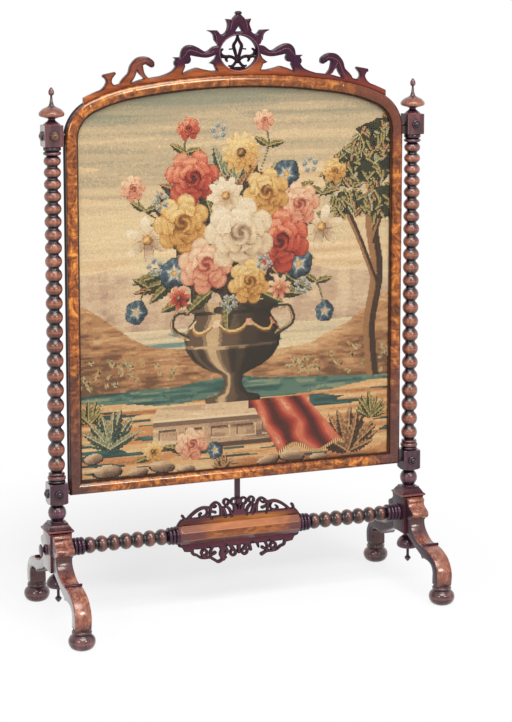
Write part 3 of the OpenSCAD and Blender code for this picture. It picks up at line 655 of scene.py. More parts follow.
def wood(name, dark, mid, light, axis="Z", recess=(42, 22, 32), flame=0.5, shade=None, deep=(58, 30, 48),
         wear_and_highlight=0.25, rim=None, gloss=0.4, coat=0.85, coat_rough=0.13, coat_ior=1.5, sheen=0.0):
    """Polished wood: broad figure, grain lines and pores, darkened point by point, with dark old wax and
    painted shade in the hollows and on turned-away edges, and lighter wear and a painted highlight on the
    proudest points."""
    t = material(name)
    place = t.place()
    figure = t.noise(place, grained(axis, 46, 7), 5, 0.6, 1.2)
    grain = t.noise(place, grained(axis, 210, 12), 4, 0.65, 0.5)
    pores = t.noise(place, grained(axis, 1500, 90), 2, 0.5)
    tone = figure * 0.62 + grain * 0.38
    body = t.ramp(tone, (0.34, dark), (0.50, mid), (0.66, light))
    darkened_body = t.ramp(tone, (0.34, shaded(deep, 0.62)), (0.50, deep), (0.66, shaded(deep, 1.45)))
    body = t.mix(t.step(grain, 0.56, 0.72, 0.0, flame), body, shaded(dark, 0.62))
    body = t.mix(t.step(pores, 0.60, 0.74, 0.0, 0.45), body, shaded(dark, 0.6))
    if shade:
        body = shade(t, place, body)
    mottle = t.noise(place, 62, 3, 0.6, 0.8)
    darkening = t.math("MULTIPLY", t.field("darkening"), t.step(mottle, 0.30, 0.60, 0.62, 1.05), True)
    body = t.mix(darkening, body, darkened_body)
    rub = t.field("rub")
    # Dark old wax and painted shade in the hollows, then wear and a painted highlight on the proudest points
    body = t.mix(t.step(rub + (figure - 0.5) * 0.5, 0.0, 0.80), recess, body)
    edge = t.step(rub, 0.86, 1.0, 0.0, wear_and_highlight) * (1.0 - darkening * 0.75)
    body = t.mix(edge, body, rim or tuple(min(255, c * 1.22 + 8) for c in light))
    return t.finish(body, (grain - 0.5) * 0.30 + 0.34, grain * 0.6 - pores * 0.35, 0.22, 0.00025,
                    Specular_IOR_Level=gloss, Specular_Tint=WARM, Coat_Weight=coat, Coat_Roughness=coat_rough,
                    Coat_IOR=coat_ior, Sheen_Weight=sheen, Sheen_Roughness=0.35)


def crest_shade(t, place, body):
    """Brown along the arch and at the ends, nearly black round the oval and on the top."""
    x, _, z = t.split(place)
    above = z - ARCH_Z * MM + x * x * (ARCH_FALL / MM)
    beside = t.step(x, 0.02, 0.05, 0.0, 0.014) * t.step(x, 0.07, 0.10, 1.0, 0.0)
    beyond = t.step(x, 0.09, 0.13, 0.0, 0.010)
    high = t.step(above - beside + beyond, 0.010, 0.034)
    near = t.step(x, -0.26, -0.15, 0.34, 1.0) * t.step(x, 0.15, 0.28, 1.0, 0.80)
    cloud = t.step(t.noise(place, 24), 0.35, 0.7, 0.93, 1.10)
    body = t.mix(t.step(x, -0.05, 0.22, 0.0, 0.85), body, (112, 50, 42))
    return t.mix(t.math("MULTIPLY", high * near, cloud, True), body, (50, 22, 44))


def fret_shade(t, place, body):
    """A brown band against the stretcher's middle, and dark scrolls beyond it."""
    x, _, z = t.split(place)
    z = z - STRETCHER_Z * MM
    body = t.mix(t.step(abs(x - 0.02), 0.055, 0.125, 0.0, 0.88), body, (70, 36, 48))
    body = t.mix(t.step(z, -0.01, 0.01, 0.9, 0.0), body, (88, 46, 62))
    return t.mix(t.step(abs(z), 0.029, 0.035), body, (86, 50, 62))


def middle_shade(t, place, body):
    """Dark at the ends, darker on the lower side as painted shade, and lighter along the upper side as
    painted light.
    """
    x, _, z = t.split(place)
    z = z - STRETCHER_Z * MM
    cloud = (t.noise(place, (30, 60, 60), 3) - 0.5) * 0.09
    ends = t.step(abs(x - 0.012) + cloud, 0.060, 0.125)
    high = t.step(z, 0.0070, 0.0095)
    patch = t.step(t.noise(place, (26, 70, 70), 4, 0.6, 1.4), 0.46, 0.62)
    body = t.mix(patch * 0.55, body, (182, 112, 58))
    # Painted light along the upper side and painted shade on the lower side
    body = t.mix(high * 0.55, body, (196, 128, 84))
    body = t.mix(t.step(z, -0.0095, -0.0070, 1.0, 0.0) * 0.85, body, (90, 54, 58))
    return t.mix(ends * (0.86 - high * 0.22), body, (84, 50, 60))


def burr_veneer():
    """Veneer laid across the moulding in short lengths. The mesh's along and across fields are in metres."""
    t = material("burr_veneer")
    along = t.field("along")
    across = t.field("across")
    run = t.joined(along, across, 0.0)
    cell = along / VENEER_LENGTH + (t.noise(run, 9, 1) - 0.5) * 0.10
    number = t.math("FLOOR", cell)
    tone = t.speckle(W=number)
    spot = t.add("VectorMath", {0: run, 1: t.joined(number * 3.7, 0.0, tone * 9.0)}, operation="ADD")
    burr = t.noise(spot, (26, 34, 30), 6, 0.62, 2.0)
    cross = t.noise(spot, (90, 14, 90), 4, 0.6, 1.2)
    fine = t.noise(spot, (700, 110, 700), 2, 0.5)
    body = t.ramp(burr * 0.76 + cross * 0.24,
                  (0.35, (50, 16, 9)), (0.44, (106, 46, 18)), (0.53, (164, 86, 32)), (0.62, (220, 142, 60)))
    body = t.mix(t.step(t.noise(spot, 64, 3, 0.6, 3.0), 0.60, 0.74, 0.0, 0.5), body, (92, 46, 30))
    body = t.mix(t.step(fine, 0.58, 0.75, 0.0, 0.2), body, (84, 42, 28))
    body = t.toned(body, tone, (0.0, (0.74, 0.70, 0.70)), (0.5, (0.92, 0.91, 0.90)),
                   (1.0, (1.04, 1.04, 1.04)))
    x, _, z = t.split(t.place())
    body = t.mix(t.step(z, 0.34, 0.66, 0.9, 0.0) * t.step(abs(x), 0.27, 0.37), body, (62, 28, 42))
    body = t.mix(t.step(z, 0.95, 1.04, 0.0, 0.92) * t.step(x, 0.20, 0.32), body, (84, 33, 32))
    # Painted shade: the crown darker, to offset the lamp above it
    body = t.mix(t.step(z, 1.08, 1.16, 0.0, 0.42), body, (96, 44, 20))
    part = t.math("FRACT", cell)
    seam = t.math("MINIMUM", part, 1.0 - part)
    body = t.mix(t.step(seam, 0.003, 0.008, 0.5, 0.0), body, (56, 28, 20))
    # Painted shade along the moulding's outer edge, less on the crown, and along its inner edge by the sight
    # edge
    outer = t.step(across, -0.001, 0.0032, 0.85, 0.0) * t.step(z, 1.10, 1.14, 1.0, 0.2)
    inner = t.step(across, 0.0205, 0.0245, 0.0, 0.6)
    body = t.mix(t.math("MAXIMUM", outer, inner), body, (60, 32, 30))
    return t.finish(body, (cross - 0.5) * 0.16 + 0.20, cross * 0.5 + fine * 0.3, 0.16, 0.0002,
                    Specular_IOR_Level=0.75, Specular_Tint=GOLDEN, Coat_Weight=0.25, Coat_Roughness=0.08)


def leg_veneer():
    t = material("leg_veneer")
    place = t.place()
    burr = t.noise(place, (40, 30, 30), 6, 0.60, 2.2)
    grain = t.noise(place, (150, 40, 40), 4, 0.6, 1.2)
    pores = t.noise(place, (1200, 260, 260), 2, 0.5)
    body = t.ramp(burr * 0.74 + grain * 0.26,
                  (0.32, (74, 36, 38)), (0.46, (118, 66, 56)), (0.56, (152, 92, 72)), (0.68, (188, 130, 106)))
    body = t.mix(t.step(pores, 0.6, 0.74, 0.0, 0.35), body, (80, 44, 36))
    # Painted shade under the knee, on the lower side and at the toe, then old wax and painted shade where the
    # wood is least proud
    body = t.mix(t.field("darkening"), body, (58, 30, 44))
    body = t.mix(t.step(t.field("rub"), 0.0, 0.5), (50, 30, 34), body)
    return t.finish(body, (grain - 0.5) * 0.25 + 0.27, grain, 0.14, 0.0002, Specular_IOR_Level=0.55,
                    Specular_Tint=WARM, Coat_Weight=0.55, Coat_Roughness=0.14)


def plain_wood(name, dark, mid, light, rough=0.62):
    t = material(name)
    place = t.place()
    rings = t.noise(place, (34, 34, 2.2), 5, 0.6, 0.9)
    lines = t.noise(place, (420, 420, 9), 3, 0.6, 0.2)
    body = t.ramp(rings * 0.6 + lines * 0.4, (0.33, dark), (0.5, mid), (0.68, light))
    marks = t.noise(place, 11, 3, 0.6, 0.5)
    body = t.mix(t.step(marks, 0.5, 0.75, 0.0, 0.35), body, shaded(dark, 0.7))
    return t.finish(body, lines * 0.16 + (rough - 0.08), lines, 0.3, 0.0003, Specular_IOR_Level=0.3)


def metal(name, bright, dull, rough):
    t = material(name)
    place = t.place()
    darkening = t.noise(place, 160, 4, 0.6, 0.6)
    lines = t.noise(place, (900, 900, 300), 2, 0.5)
    body = t.mix(t.step(darkening, 0.42, 0.66, 0.0, 0.8), bright, dull)
    return t.finish(body, t.step(darkening, 0.3, 0.7, rough, rough + 0.25), lines, 0.15, 0.0001, Metallic=1.0)


def glass():
    """Old glass. Its gloss rises with the slope alone, so it is as clear from behind as from the front."""
    t = material("old_glass")
    wave = t.noise(t.place(), (5, 5, 3), 1, 0.4, 0.2)
    relief = t.add("Bump", {"Height": wave, "Strength": 0.05, "Distance": 0.002})
    clear = t.add("BsdfTransparent", {"Color": (0.965, 0.975, 0.965, 1)})
    gloss = t.add("BsdfGlossy", {"Color": WHITE_LIGHT, "Roughness": 0.03, "Normal": relief})
    slope = t.add("LayerWeight", {"Blend": 0.5, "Normal": relief}, "Facing")
    share = t.math("POWER", slope, 5.0) * 0.9 + 0.012
    t.add("OutputMaterial", {"Surface": t.add("MixShader", {0: share, 1: clear, 2: gloss})})
    return t.owner


def ebony():
    t = material("ebonised_slip")
    grain = t.noise(t.place(), (300, 300, 24), 4, 0.6, 0.3)
    body = t.ramp(grain, (0.35, (50, 30, 22)), (0.6, (76, 48, 34)), (0.8, (108, 72, 50)))
    return t.finish(body, grain * 0.2 + 0.4, grain, 0.15, 0.0002, Specular_IOR_Level=0.1)


def woolwork():
    """Tent stitches: each one a slanting bulge of wool, a little lighter or darker than the next."""
    t = material("berlin_wool")
    x, _, z = t.split(t.place())
    across = x / (STITCH * MM)
    up = z / (STITCH * MM)
    slant = t.math("SINE", (across + up) * (2 * math.pi))
    row = abs(t.math("SINE", up * math.pi))
    height = (slant * 0.5 + 0.5) * row
    dye = t.speckle(Vector=t.joined(t.math("FLOOR", across), 0.0, t.math("FLOOR", up)))
    skein = t.speckle(W=t.math("FLOOR", up * 0.5))
    fuzz = t.noise(t.place(), (2600, 900, 2600), 2, 0.6)
    body = t.add("Attribute", {}, "Color", attribute_name="wool")
    body = t.toned(body, dye, (0.0, (0.86, 0.86, 0.85)), (1.0, (1.08, 1.07, 1.06)))
    body = t.toned(body, skein, (0.0, (0.93, 0.93, 0.94)), (1.0, (1.03, 1.03, 1.02)))
    # Painted shade in the creases between the stitches
    body = t.mix(t.step(height, 0.0, 0.4, 0.22, 0.0), body, (78, 60, 42))
    body = t.mix(t.step(fuzz, 0.5, 0.8, 0.0, 0.14), body, (232, 220, 190))
    return t.finish(body, 0.88, height + fuzz * 0.35, 0.5, 0.0005, Specular_IOR_Level=0.08, Sheen_Weight=0.05,
                    Sheen_Roughness=0.5)


ROSEWOOD = wood("rosewood_turned", (64, 28, 26), (120, 64, 46), (168, 106, 76), flame=0.55,
                recess=(20, 6, 20), deep=(62, 28, 56), gloss=0.3, coat=0.9, coat_rough=0.26)
STRETCHER_WOOD = wood("rosewood_stretcher", (56, 25, 25), (104, 55, 42), (152, 94, 68), "X", flame=0.55,
                      recess=(18, 7, 20), deep=(38, 17, 34), gloss=0.3, coat=0.9, coat_rough=0.22)
COLLAR_WOOD = wood("rosewood_collar", (24, 12, 22), (40, 22, 36), (66, 40, 54), "X", recess=(14, 7, 15),
                   gloss=0.1, coat=0.6, coat_rough=0.12, wear_and_highlight=0.4)
# Lit and shaded copies of the rosewood for the sides: the outer one paler and pinker, as painted reflection,
# the inner one darker, as painted shade
LIT_OUTER_SIDE = wood("rosewood_lit_outer_side", (74, 46, 56), (108, 74, 82), (140, 102, 108), flame=0.4,
                  recess=(50, 32, 40), coat=1.0, coat_rough=0.10, coat_ior=1.7, sheen=0.8)
SHADED_INNER_SIDE = wood("rosewood_shaded_inner_side", (34, 19, 30), (58, 37, 48), (84, 58, 68), flame=0.4,
                  recess=(28, 16, 26), coat=0.3, gloss=0.15)
DARK_WOOD = wood("rosewood_dark", (36, 18, 32), (64, 35, 52), (100, 62, 74), flame=0.6, gloss=0.2,
                 coat_ior=1.4)
# Its rim colour, on the proudest ledges of the caps, is wear and a painted highlight
BLOCK_WOOD = wood("rosewood_block", (38, 14, 26), (74, 33, 42), (116, 60, 62), flame=0.6, recess=(28, 11, 25),
                  wear_and_highlight=0.7, coat=0.55, gloss=0.15, coat_ior=1.4, rim=(138, 84, 78))
BOSS_WOOD = wood("rosewood_boss", (104, 66, 40), (164, 116, 68), (204, 156, 92), flame=0.3,
                 recess=(34, 18, 30), deep=(50, 28, 42), wear_and_highlight=0.0, gloss=0.15)
# Its rim colour, along the tops of the ribs, is a painted highlight
CREST_WOOD = wood("rosewood_crest", (96, 42, 22), (146, 76, 38), (178, 102, 58), "X", recess=(42, 18, 30),
                  flame=0.4, shade=crest_shade, coat=0.55, wear_and_highlight=0.75, gloss=0.06, coat_ior=1.3,
                  rim=(132, 92, 104))
FRET_WOOD = wood("rosewood_fret", (104, 58, 30), (146, 90, 48), (178, 118, 70), "X", recess=(26, 14, 22),
                 shade=fret_shade, coat=0.5, wear_and_highlight=0.1, gloss=0.06, coat_ior=1.3)
MIDDLE_WOOD = wood("rosewood_middle", (74, 36, 22), (126, 68, 38), (160, 98, 58), "X", recess=(60, 36, 40),
                   flame=0.6, shade=middle_shade, coat=0.5, wear_and_highlight=0.8, gloss=0.2)
# Nearly black: its own dark wood, with painted shade where the tracery sits back in the oval
TRACERY_WOOD = wood("rosewood_tracery", (20, 10, 17), (34, 17, 29), (58, 34, 48), recess=(14, 7, 13),
                    coat=0.12, wear_and_highlight=0.1, gloss=0.05)
RING_WOOD = wood("rosewood_ring", (34, 17, 24), (56, 30, 38), (84, 50, 54), "X", coat=0.3, gloss=0.1)
FOOT_WOOD = wood("rosewood_foot", (36, 18, 28), (74, 40, 48), (138, 88, 80), recess=(26, 12, 24), gloss=0.3,
                 coat=0.9, coat_rough=0.17)
LEG_VENEER = leg_veneer()
SIDE_WOOD = plain_wood("frame_side", (24, 10, 20), (40, 19, 32), (60, 33, 46), 0.8)


# The stand. POST_X is half the distance between the posts' axes.

POST_X = (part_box("right_post")[1].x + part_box("right_post")[0].x) / 2 / MM
CAP_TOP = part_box("left_cap")[1].z / MM
POST_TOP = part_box("left_post")[1].z / MM
PEDESTAL_LOW, PEDESTAL_HIGH = (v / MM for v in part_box("right_pedestal"))
PEDESTAL_HALF_W = (PEDESTAL_HIGH.x - PEDESTAL_LOW.x) / 2
PEDESTAL_HALF_D = (PEDESTAL_HIGH.y - PEDESTAL_LOW.y) / 2
BLOCK = 40.0
BLOCK_H = 45.0
LOWER_BLOCK = CAP_TOP + 40
UPPER_BLOCK = POST_TOP - BLOCK_H
CAP_H = 21
FOOT_Y = 175.0
FOOT_H = 43.0
LEG_HALF = 18.0
SIDES = {"left": Matrix.Translation((-POST_X, 0, 0)) @ Matrix.Scale(-1, 4, (1, 0, 0)),
         "right": Matrix.Translation((POST_X, 0, 0))}
ALONG_X = Matrix.Rotation(math.pi / 2, 4, "Y")
ALONG_MINUS_Y = Matrix.Rotation(math.pi / 2, 4, "X")


def corners(place):
    """A matrix for each corner. place(1) moves a shape to the rear of a post, place(-1) to its front."""
    return {f"{end}_{side}": matrix @ place(sign) for end, sign in (("front", -1), ("rear", 1))
            for side, matrix in SIDES.items()}


def repeated(shape, spots, name, node, materials, slot, sharp=38):
    """Makes a piece at each spot, in place of the CAD node there."""
    for spot, matrix in spots.items():
        shape.moved(matrix).make(f"{spot}_{name}", materials, slot, [f"{spot}_{node}"], sharp)


def bulge(z0, z1, r0, r1, n=16):
    """A round bulge, whose ends are cut where its radius is r0."""
    half = (z1 - z0) / 2
    full = half / math.sqrt(1 - (r0 / r1) ** 2)
    last = math.asin(half / full)
    turns = [last * (2 * i / n - 1) for i in range(n + 1)]
    return [(r1 * math.cos(a), (z0 + z1) / 2 + full * math.sin(a)) for a in turns]


def bobbins(z0, length, count, taper):
    """Round bulges with short hollow necks, shorter and shorter by the taper."""
    share = [1 - taper * ((i + 0.5) / count) ** 2 for i in range(count)]
    out = []
    at = z0
    for s in share:
        step = length * s / sum(share)
        neck = 0.075 * step
        body = bulge(at + neck, at + step - neck, 11.8, 18)
        out += [(11.1, at), (11.2, at + neck / 2)] + body + [(11.2, at + step - neck / 2)]
        at += step
    return out


def pummel(z, end):
    """A square block's height of the profile, with its corners turned off over a height of end."""
    corner = BLOCK / math.sqrt(2) + 0.6
    rows = [(-8, 0), (-4.6, end * 0.2), (-2.2, end * 0.5), (-0.7, end * 0.8), (0, end),
            (0, BLOCK_H - end * 0.4), (-2, BLOCK_H - end * 0.2), (-4, BLOCK_H)]
    return [(corner + r, z + up) for r, up in rows]


def post_profile():
    """The points of the post, and for each the half-side of the square block that it belongs to, or None."""
    run = LOWER_BLOCK + BLOCK_H
    start = run + 23
    top = UPPER_BLOCK - 18
    foot = [(15.5, CAP_TOP + 0.1), (15.5, CAP_TOP + 2.6), (14.9, CAP_TOP + 3.2)]
    foot += bulge(CAP_TOP + 4, LOWER_BLOCK - 4, 11.6, 19.4, 22)
    foot += [(13.2, LOWER_BLOCK - 2), (14, LOWER_BLOCK - 0.2)]
    shaft = [(14, run + 0.1)] + bead(run + 0.4, run + 6, 15.5, 18.5, 8)
    shaft += bead(run + 6, run + 16, 16, 19.5, 12)[1:] + bead(run + 16, start, 13.5, 17.5, 8)[1:]
    shaft += bobbins(start, top - start, 23, 0.28)
    shaft += bead(top, top + 8, 14, 19, 10)[1:] + [(15.5, top + 9), (18.2, top + 10.6), (18.6, top + 11.4),
                                                   (18.6, top + 15.6), (18.2, top + 16.4), (15.5, top + 17.9)]
    half = BLOCK / 2
    parts = ((foot, None), (pummel(LOWER_BLOCK, 5), half), (shaft, None), (pummel(UPPER_BLOCK, 1), half))
    return zip(*[(point, square) for part, square in parts for point in part])


def make_posts():
    post = lathe(*post_profile())
    # The painted shade of the necks spreads far up the sides of each bobbin
    post.rub = post.rub ** 2.6
    run = LOWER_BLOCK + BLOCK_H
    top = UPPER_BLOCK
    post.stained([(CAP_TOP, 0.95), (LOWER_BLOCK - 6, 0.92), (run, 0.92), (run + 12, 0.6), (run + 40, 0.12),
                  (700, 0.0), (top - 34, 0.15), (top - 17, 0.9), (top - 1, 0.9), (top + 1, 0.58)])
    post.split_sides(BLOCK / 2)
    repeated(post, SIDES, "post_turning", "post", [ROSEWOOD, LIT_OUTER_SIDE, SHADED_INNER_SIDE], "turned_rosewood", 34)


def make_finials():
    profile = [(17.8, 0), (17.8, 1.3), (17.2, 1.9), (13.8, 5), (9.5, 8), (7.4, 10.5), (7.8, 12.5)]
    profile += curve([(17, 15.5), (25, 18.2), (26.8, 22.5), (25.6, 26.5), (19, 33), (10, 37.2), (6, 40)], 6)
    profile += curve([(5.2, 42), (3.7, 47), (2.8, 53), (2.3, 58), (2.4, 60.5)], 4)
    profile += curve([(4.6, 62), (6.2, 66.5), (5, 72), (2.2, 76.4), (0.3, 78)], 6)
    finial = lathe(profile, reach=7)
    finial.stained([(0, 0.85), (14, 0.9), (18, 0.2), (30, 0.1), (40, 0.2), (52, 0.3), (64, 0.8)])
    repeated(finial.at(0, 0, POST_TOP), SIDES, "finial_turning", "finial", [ROSEWOOD], "turned_rosewood", 40)


def rosette():
    """A dished disc with eight shallow lobes and a button in its middle."""
    profile = [(9, 0.1), (10.1, 0.9), (10.3, 1.6), (10.3, 3), (9.9, 4.1), (9.2, 4.6), (8.2, 4.9), (7, 5),
               (6.2, 4.4), (5.8, 3.8), (5.7, 4.8), (5.4, 5.6), (4.8, 6.4), (4, 7), (3, 7.5), (1.8, 7.8),
               (0.3, 8)]
    disc = lathe(profile, steps=48, reach=3)
    x, y, _ = disc.points.T
    lobes = 1 - 0.045 * (0.5 - 0.5 * np.cos(8 * np.arctan2(y, x)))
    disc.points[:, :2] *= np.where(np.hypot(x, y) > 6.5, lobes, 1)[:, None]
    return disc


def make_bosses():
    """All are stained dark but those at the upper left, which are golden inside their rims: a painted
    highlight.
    """
    disc = rosette()
    # A painted highlight: the upper left discs keep a golden middle
    highlighted_middle = np.interp(np.hypot(*disc.points.T[:2]), [7.0, 8.2], [0.0, 1.7])
    low, high = [Matrix.Translation((0, 0, z + BLOCK_H / 2)) for z in (LOWER_BLOCK, UPPER_BLOCK)]
    for face, spot in (("front", Matrix.Translation((0, -BLOCK / 2, 0)) @ ALONG_MINUS_Y),
                       ("outer", Matrix.Translation((BLOCK / 2, 0, 0)) @ ALONG_X)):
        discs = []
        for side, matrix in SIDES.items():
            for level in (low, high):
                disc.darkening = highlighted_middle if side == "left" and level is high else 1.7
                discs.append(disc.moved(matrix @ level @ spot))
        sum(discs[1:], discs[0]).make(face + "_rosettes", [BOSS_WOOD], "turned_rosewood", [face + "_bosses"])


def make_caps():
    profile = [(25.5, 0), (26.2, 1.4), (28.4, 2.6), (29, 3.4), (29, 5.8), (28.7, 6.5), (28, 7.1), (26.4, 8.1),
               (24.9, 9), (24.5, 9.5), (24.5, 11.3), (23.4, 11.8), (22.4, 13.6), (21.1, 15.7), (19.2, 18),
               (18.4, 18.4), (18.4, CAP_H)]
    arris = 0.5
    points = []
    for w, z in profile:
        c = w - arris
        points += [(w, -c, z), (w, c, z), (c, w, z), (-c, w, z)]
        points += [(-w, c, z), (-w, -c, z), (-c, -w, z), (c, -w, z)]
    rub = np.maximum(np.repeat(proudness(profile, 3), 8), 0.3)
    cap = Shape(points, skin(len(profile), 8) + lids(len(profile), 8), rub).at(0, 0, CAP_TOP - CAP_H)
    repeated(cap, SIDES, "cap_moulding", "cap", [BLOCK_WOOD], "dark_rosewood", 28)


def make_pedestals():
    pedestal = block((-PEDESTAL_HALF_W, -PEDESTAL_HALF_D, PEDESTAL_LOW.z),
                     (PEDESTAL_HALF_W, PEDESTAL_HALF_D, PEDESTAL_HIGH.z), 0.9)
    pedestal.split_sides(PEDESTAL_HALF_W)
    repeated(pedestal, SIDES, "pedestal_block", "pedestal", [BLOCK_WOOD, LIT_OUTER_SIDE, SHADED_INNER_SIDE],
             "dark_rosewood", 50)


def make_pendants():
    profile = curve([(0.3, -74), (3, -71.5), (6.8, -66.5), (6.9, -63.5), (4, -60.5), (3.1, -57)], 4)
    profile += [(3.1, -41.5), (9, -40.5), (19, -39.5), (22.4, -38.4), (23.5, -37.5)]
    profile += curve([(25.5, -33), (24, -26), (19, -18.5), (12, -12.5), (9.5, -9)], 6)
    profile += [(9.5, -4), (11.4, -3.1), (12, -2), (12, -0.1)]
    pendant = lathe(profile, steps=48, reach=6).at(0, 0, PEDESTAL_LOW.z)
    pendant.rub = np.maximum(pendant.rub, 0.25)
    repeated(pendant, SIDES, "pendant_drop", "pendant", [DARK_WOOD], "turned_rosewood")


def make_knobs():
    profile = curve([(8, 0.1), (11, 1), (12.2, 3.2), (11, 5.6), (7, 7.4), (5.6, 8.6), (6, 10)], 3)
    profile += curve([(10.8, 11), (12.9, 12.4), (12.9, 13.6), (10.5, 15), (5, 15.8), (0.3, 16)], 3)
    knob = lathe(profile, steps=40, reach=5).moved(ALONG_X).at(PEDESTAL_HALF_W, 0, STRETCHER_Z)
    repeated(knob, SIDES, "knob_turning", "stretcher_knob", [DARK_WOOD], "turned_rosewood")


def leg_outline():
    """The leg with its scrolls, as (out from the post's axis, height) points."""
    top = curve([(50, 157), (51, 148), (56, 139), (66, 130.5), (78, 123.5), (93, 118), (116, 116.5),
                 (136, 114), (152, 109.5), (168, 102), (181, 90), (189.5, 74), (190.5, 60), (188, FOOT_H)], 5)
    under = curve([(161.5, FOOT_H), (161.5, 58), (162, 70), (156, 81), (144, 86.5), (127, 88),
                   (116, 87.5)], 4)
    inner = curve([(103, 91), (92, 94.8), (74, 101), (56, 108.5), (40, 115.5), (PEDESTAL_HALF_D, 121)], 4)
    return [(PEDESTAL_HALF_D, 165), (46, 165)] + top + under + [(108, 84.5)] + inner


def leg_shade(y, z):
    """Painted shade: dark under the knee, on the lower side and down at the toe."""
    middle = np.interp(y, [25, 60, 93, 127, 160, 175], [140, 120, 105, 101, 88, 60])
    under = np.clip((middle - z) / 8, 0, 1) * 0.9 * (y < 172)
    knee = np.interp(y, [62, 86], [0.9, 0.0])
    toe = np.interp(z, [FOOT_H, 62], [0.6, 0.0])
    return np.maximum.reduce([under, knee, toe])


def knee_outline():
    """The moulded bracket between the leg and the pedestal."""
    face = curve([(14, -0.5), (16.5, -5), (14, -11.5), (20, -18), (31, -22.5), (37.5, -27.5), (37.8, -34.5),
                  (32, -40.5)], 5)
    outline = [(0, 0)] + face + [(22, -43), (22, -47), (0, -47)]
    return [(PEDESTAL_HALF_D + y, PEDESTAL_HIGH.z + z) for y, z in outline]


# Painted shade, darker towards the foot of the knee where it meets the shade under it
def knee_shade(_, z):
    return graded(z - PEDESTAL_HIGH.z, [(-47, 0.9), (-41, 0.6), (-36, 0.0)])


def make_legs():
    parts = []
    for outline, half, bevel, darkening in ((leg_outline(), LEG_HALF, 3.0, leg_shade),
                                        (knee_outline(), LEG_HALF + 1.5, 1.6, knee_shade)):
        loop = np.array(outline)
        loop = loop if area(loop) > 0 else loop[::-1]
        part = plate([loop], half, -half, bevel, lambda a, b, depth: (depth, a, b), bevel, side_rub=0.75)
        part.darkening = darkening(*part.points.T[1:])
        part.split_sides(half)
        parts.append(part)
    half_ring = [(3.2, 17.6), (2.9, 18.6), (2.2, 19), (0.2, 19)]
    ring = lathe([(r, -z) for r, z in reversed(half_ring)] + half_ring, steps=24)
    ring = Shape(ring.points, ring.faces, 0.5, 0.9, 3).moved(ALONG_X).at(0, 117, 117.8)
    spots = corners(lambda sign: Matrix.Scale(sign, 4, (0, 1, 0)))
    repeated(parts[0] + parts[1] + ring, spots, "leg_scroll", "leg",
             [LEG_VENEER, LIT_OUTER_SIDE, SHADED_INNER_SIDE, RING_WOOD], "leg_wood", 34)


def make_feet():
    profile = curve([(16.5, 0.02), (23, 4), (27.3, 11), (28.5, 18.5), (26.1, 26), (20, 32)], 6)
    profile += [(19, 33)] + bead(33.6, 40, 19, 21.3, 8) + [(18.7, 41), (18.7, FOOT_H)]
    foot = lathe(profile, reach=7)
    foot.rub = np.maximum(foot.rub, 0.3)
    spots = corners(lambda sign: Matrix.Translation((0, sign * FOOT_Y, 0)))
    repeated(foot, spots, "foot_bun", "foot", [FOOT_WOOD], "turned_rosewood")


# The stretcher, its frets and the crest

OCTAGON = 41.0
OCTAGON_HALF = 142.0
EIGHTH = math.pi / 4
STRETCHER_END = POST_X - 24
INNER_COLLARS = 24
OUTER_COLLARS = 33


def stretcher_profile():
    """One side, from the middle out: three collars, seven bobbins, four collars and a tenon."""
    start = OCTAGON_HALF + INNER_COLLARS
    end = STRETCHER_END - OUTER_COLLARS
    out = [(13, OCTAGON_HALF - 1)]
    for i in range(3):
        at = OCTAGON_HALF + i * INNER_COLLARS / 3
        out += bead(at, at + INNER_COLLARS / 3, 15.5, 20.5 - i * 0.7, 9)[1:]
    out += bobbins(start, end - start, 7, 0)
    for i in range(4):
        at = end + i * OUTER_COLLARS / 4
        out += bead(at, at + OUTER_COLLARS / 4, 16.5, 19.3, 9)[1:]
    return out + [(10, STRETCHER_END), (10, STRETCHER_END + 30)]


def stretcher_middle():
    """The eight-sided length between the turnings, with moulded ends and its arrises taken off."""
    flat = OCTAGON / 2
    corner = flat / math.cos(EIGHTH / 2)
    wide = flat + 3
    rows = [(flat - 3, 1), (flat - 1.4, -0.8), (flat + 0.1, -2.8), (flat + 1.2, -4.6), (wide, -7)]
    rows = [(r, OCTAGON_HALF + z) for r, z in rows]
    between = np.linspace(14 - OCTAGON_HALF, OCTAGON_HALF - 14, 24)
    profile = [(r, -z) for r, z in rows] + [(wide, z) for z in between] + rows[::-1]
    part = (0, 8, 15, 19, 21.2, 22.1, 22.9, 23.8, 26, 30, 37)
    angles = [math.radians(45 * k + a) for k in range(8) for a in part]
    points = []
    for r, z in profile:
        for a in angles:
            off = (a + EIGHTH / 2) % EIGHTH - EIGHTH / 2
            radius = min(r, flat / math.cos(off), corner - 0.12)
            points.append((radius * math.cos(a), radius * math.sin(a), z))
    # The arrises lighter, as wear and a painted highlight
    rub = [0.95 if math.hypot(x, y) > corner - 0.25 else FACE_WEAR_AND_SHADING for x, y, _ in points]
    return Shape(points, skin(len(profile), len(angles)) + lids(len(profile), len(angles)), rub)


def make_stretcher():
    side = lathe(stretcher_profile())
    place = side.points[:, 2]
    collar = (place < OCTAGON_HALF + INNER_COLLARS + 0.2) | (place > STRETCHER_END - OUTER_COLLARS - 0.2)
    # The painted shade of the necks spreads over much of each bobbin, and less on the collars
    side.rub = np.maximum(side.rub ** 3.6, np.where(collar, 0.3, 0.0))
    side.which = [int(all(collar[i] for i in face)) for face in side.faces]
    side.stained([(OCTAGON_HALF + 22, 0.92), (OCTAGON_HALF + 46, 0.3), (POST_X - 80, 0.3),
                  (POST_X - 56, 0.95)])
    right = side.moved(ALONG_X)
    both = right + right.moved(Matrix.Rotation(math.pi, 4, "Z"))
    both.at(0, 0, STRETCHER_Z).make("stretcher_turnings", [STRETCHER_WOOD, COLLAR_WOOD], "turned_rosewood",
                                    ["stretcher"], 34)
    middle = stretcher_middle().moved(ALONG_X)
    middle.at(0, 0, STRETCHER_Z).make("stretcher_middle", [MIDDLE_WOOD], "leg_wood", sharp=16)


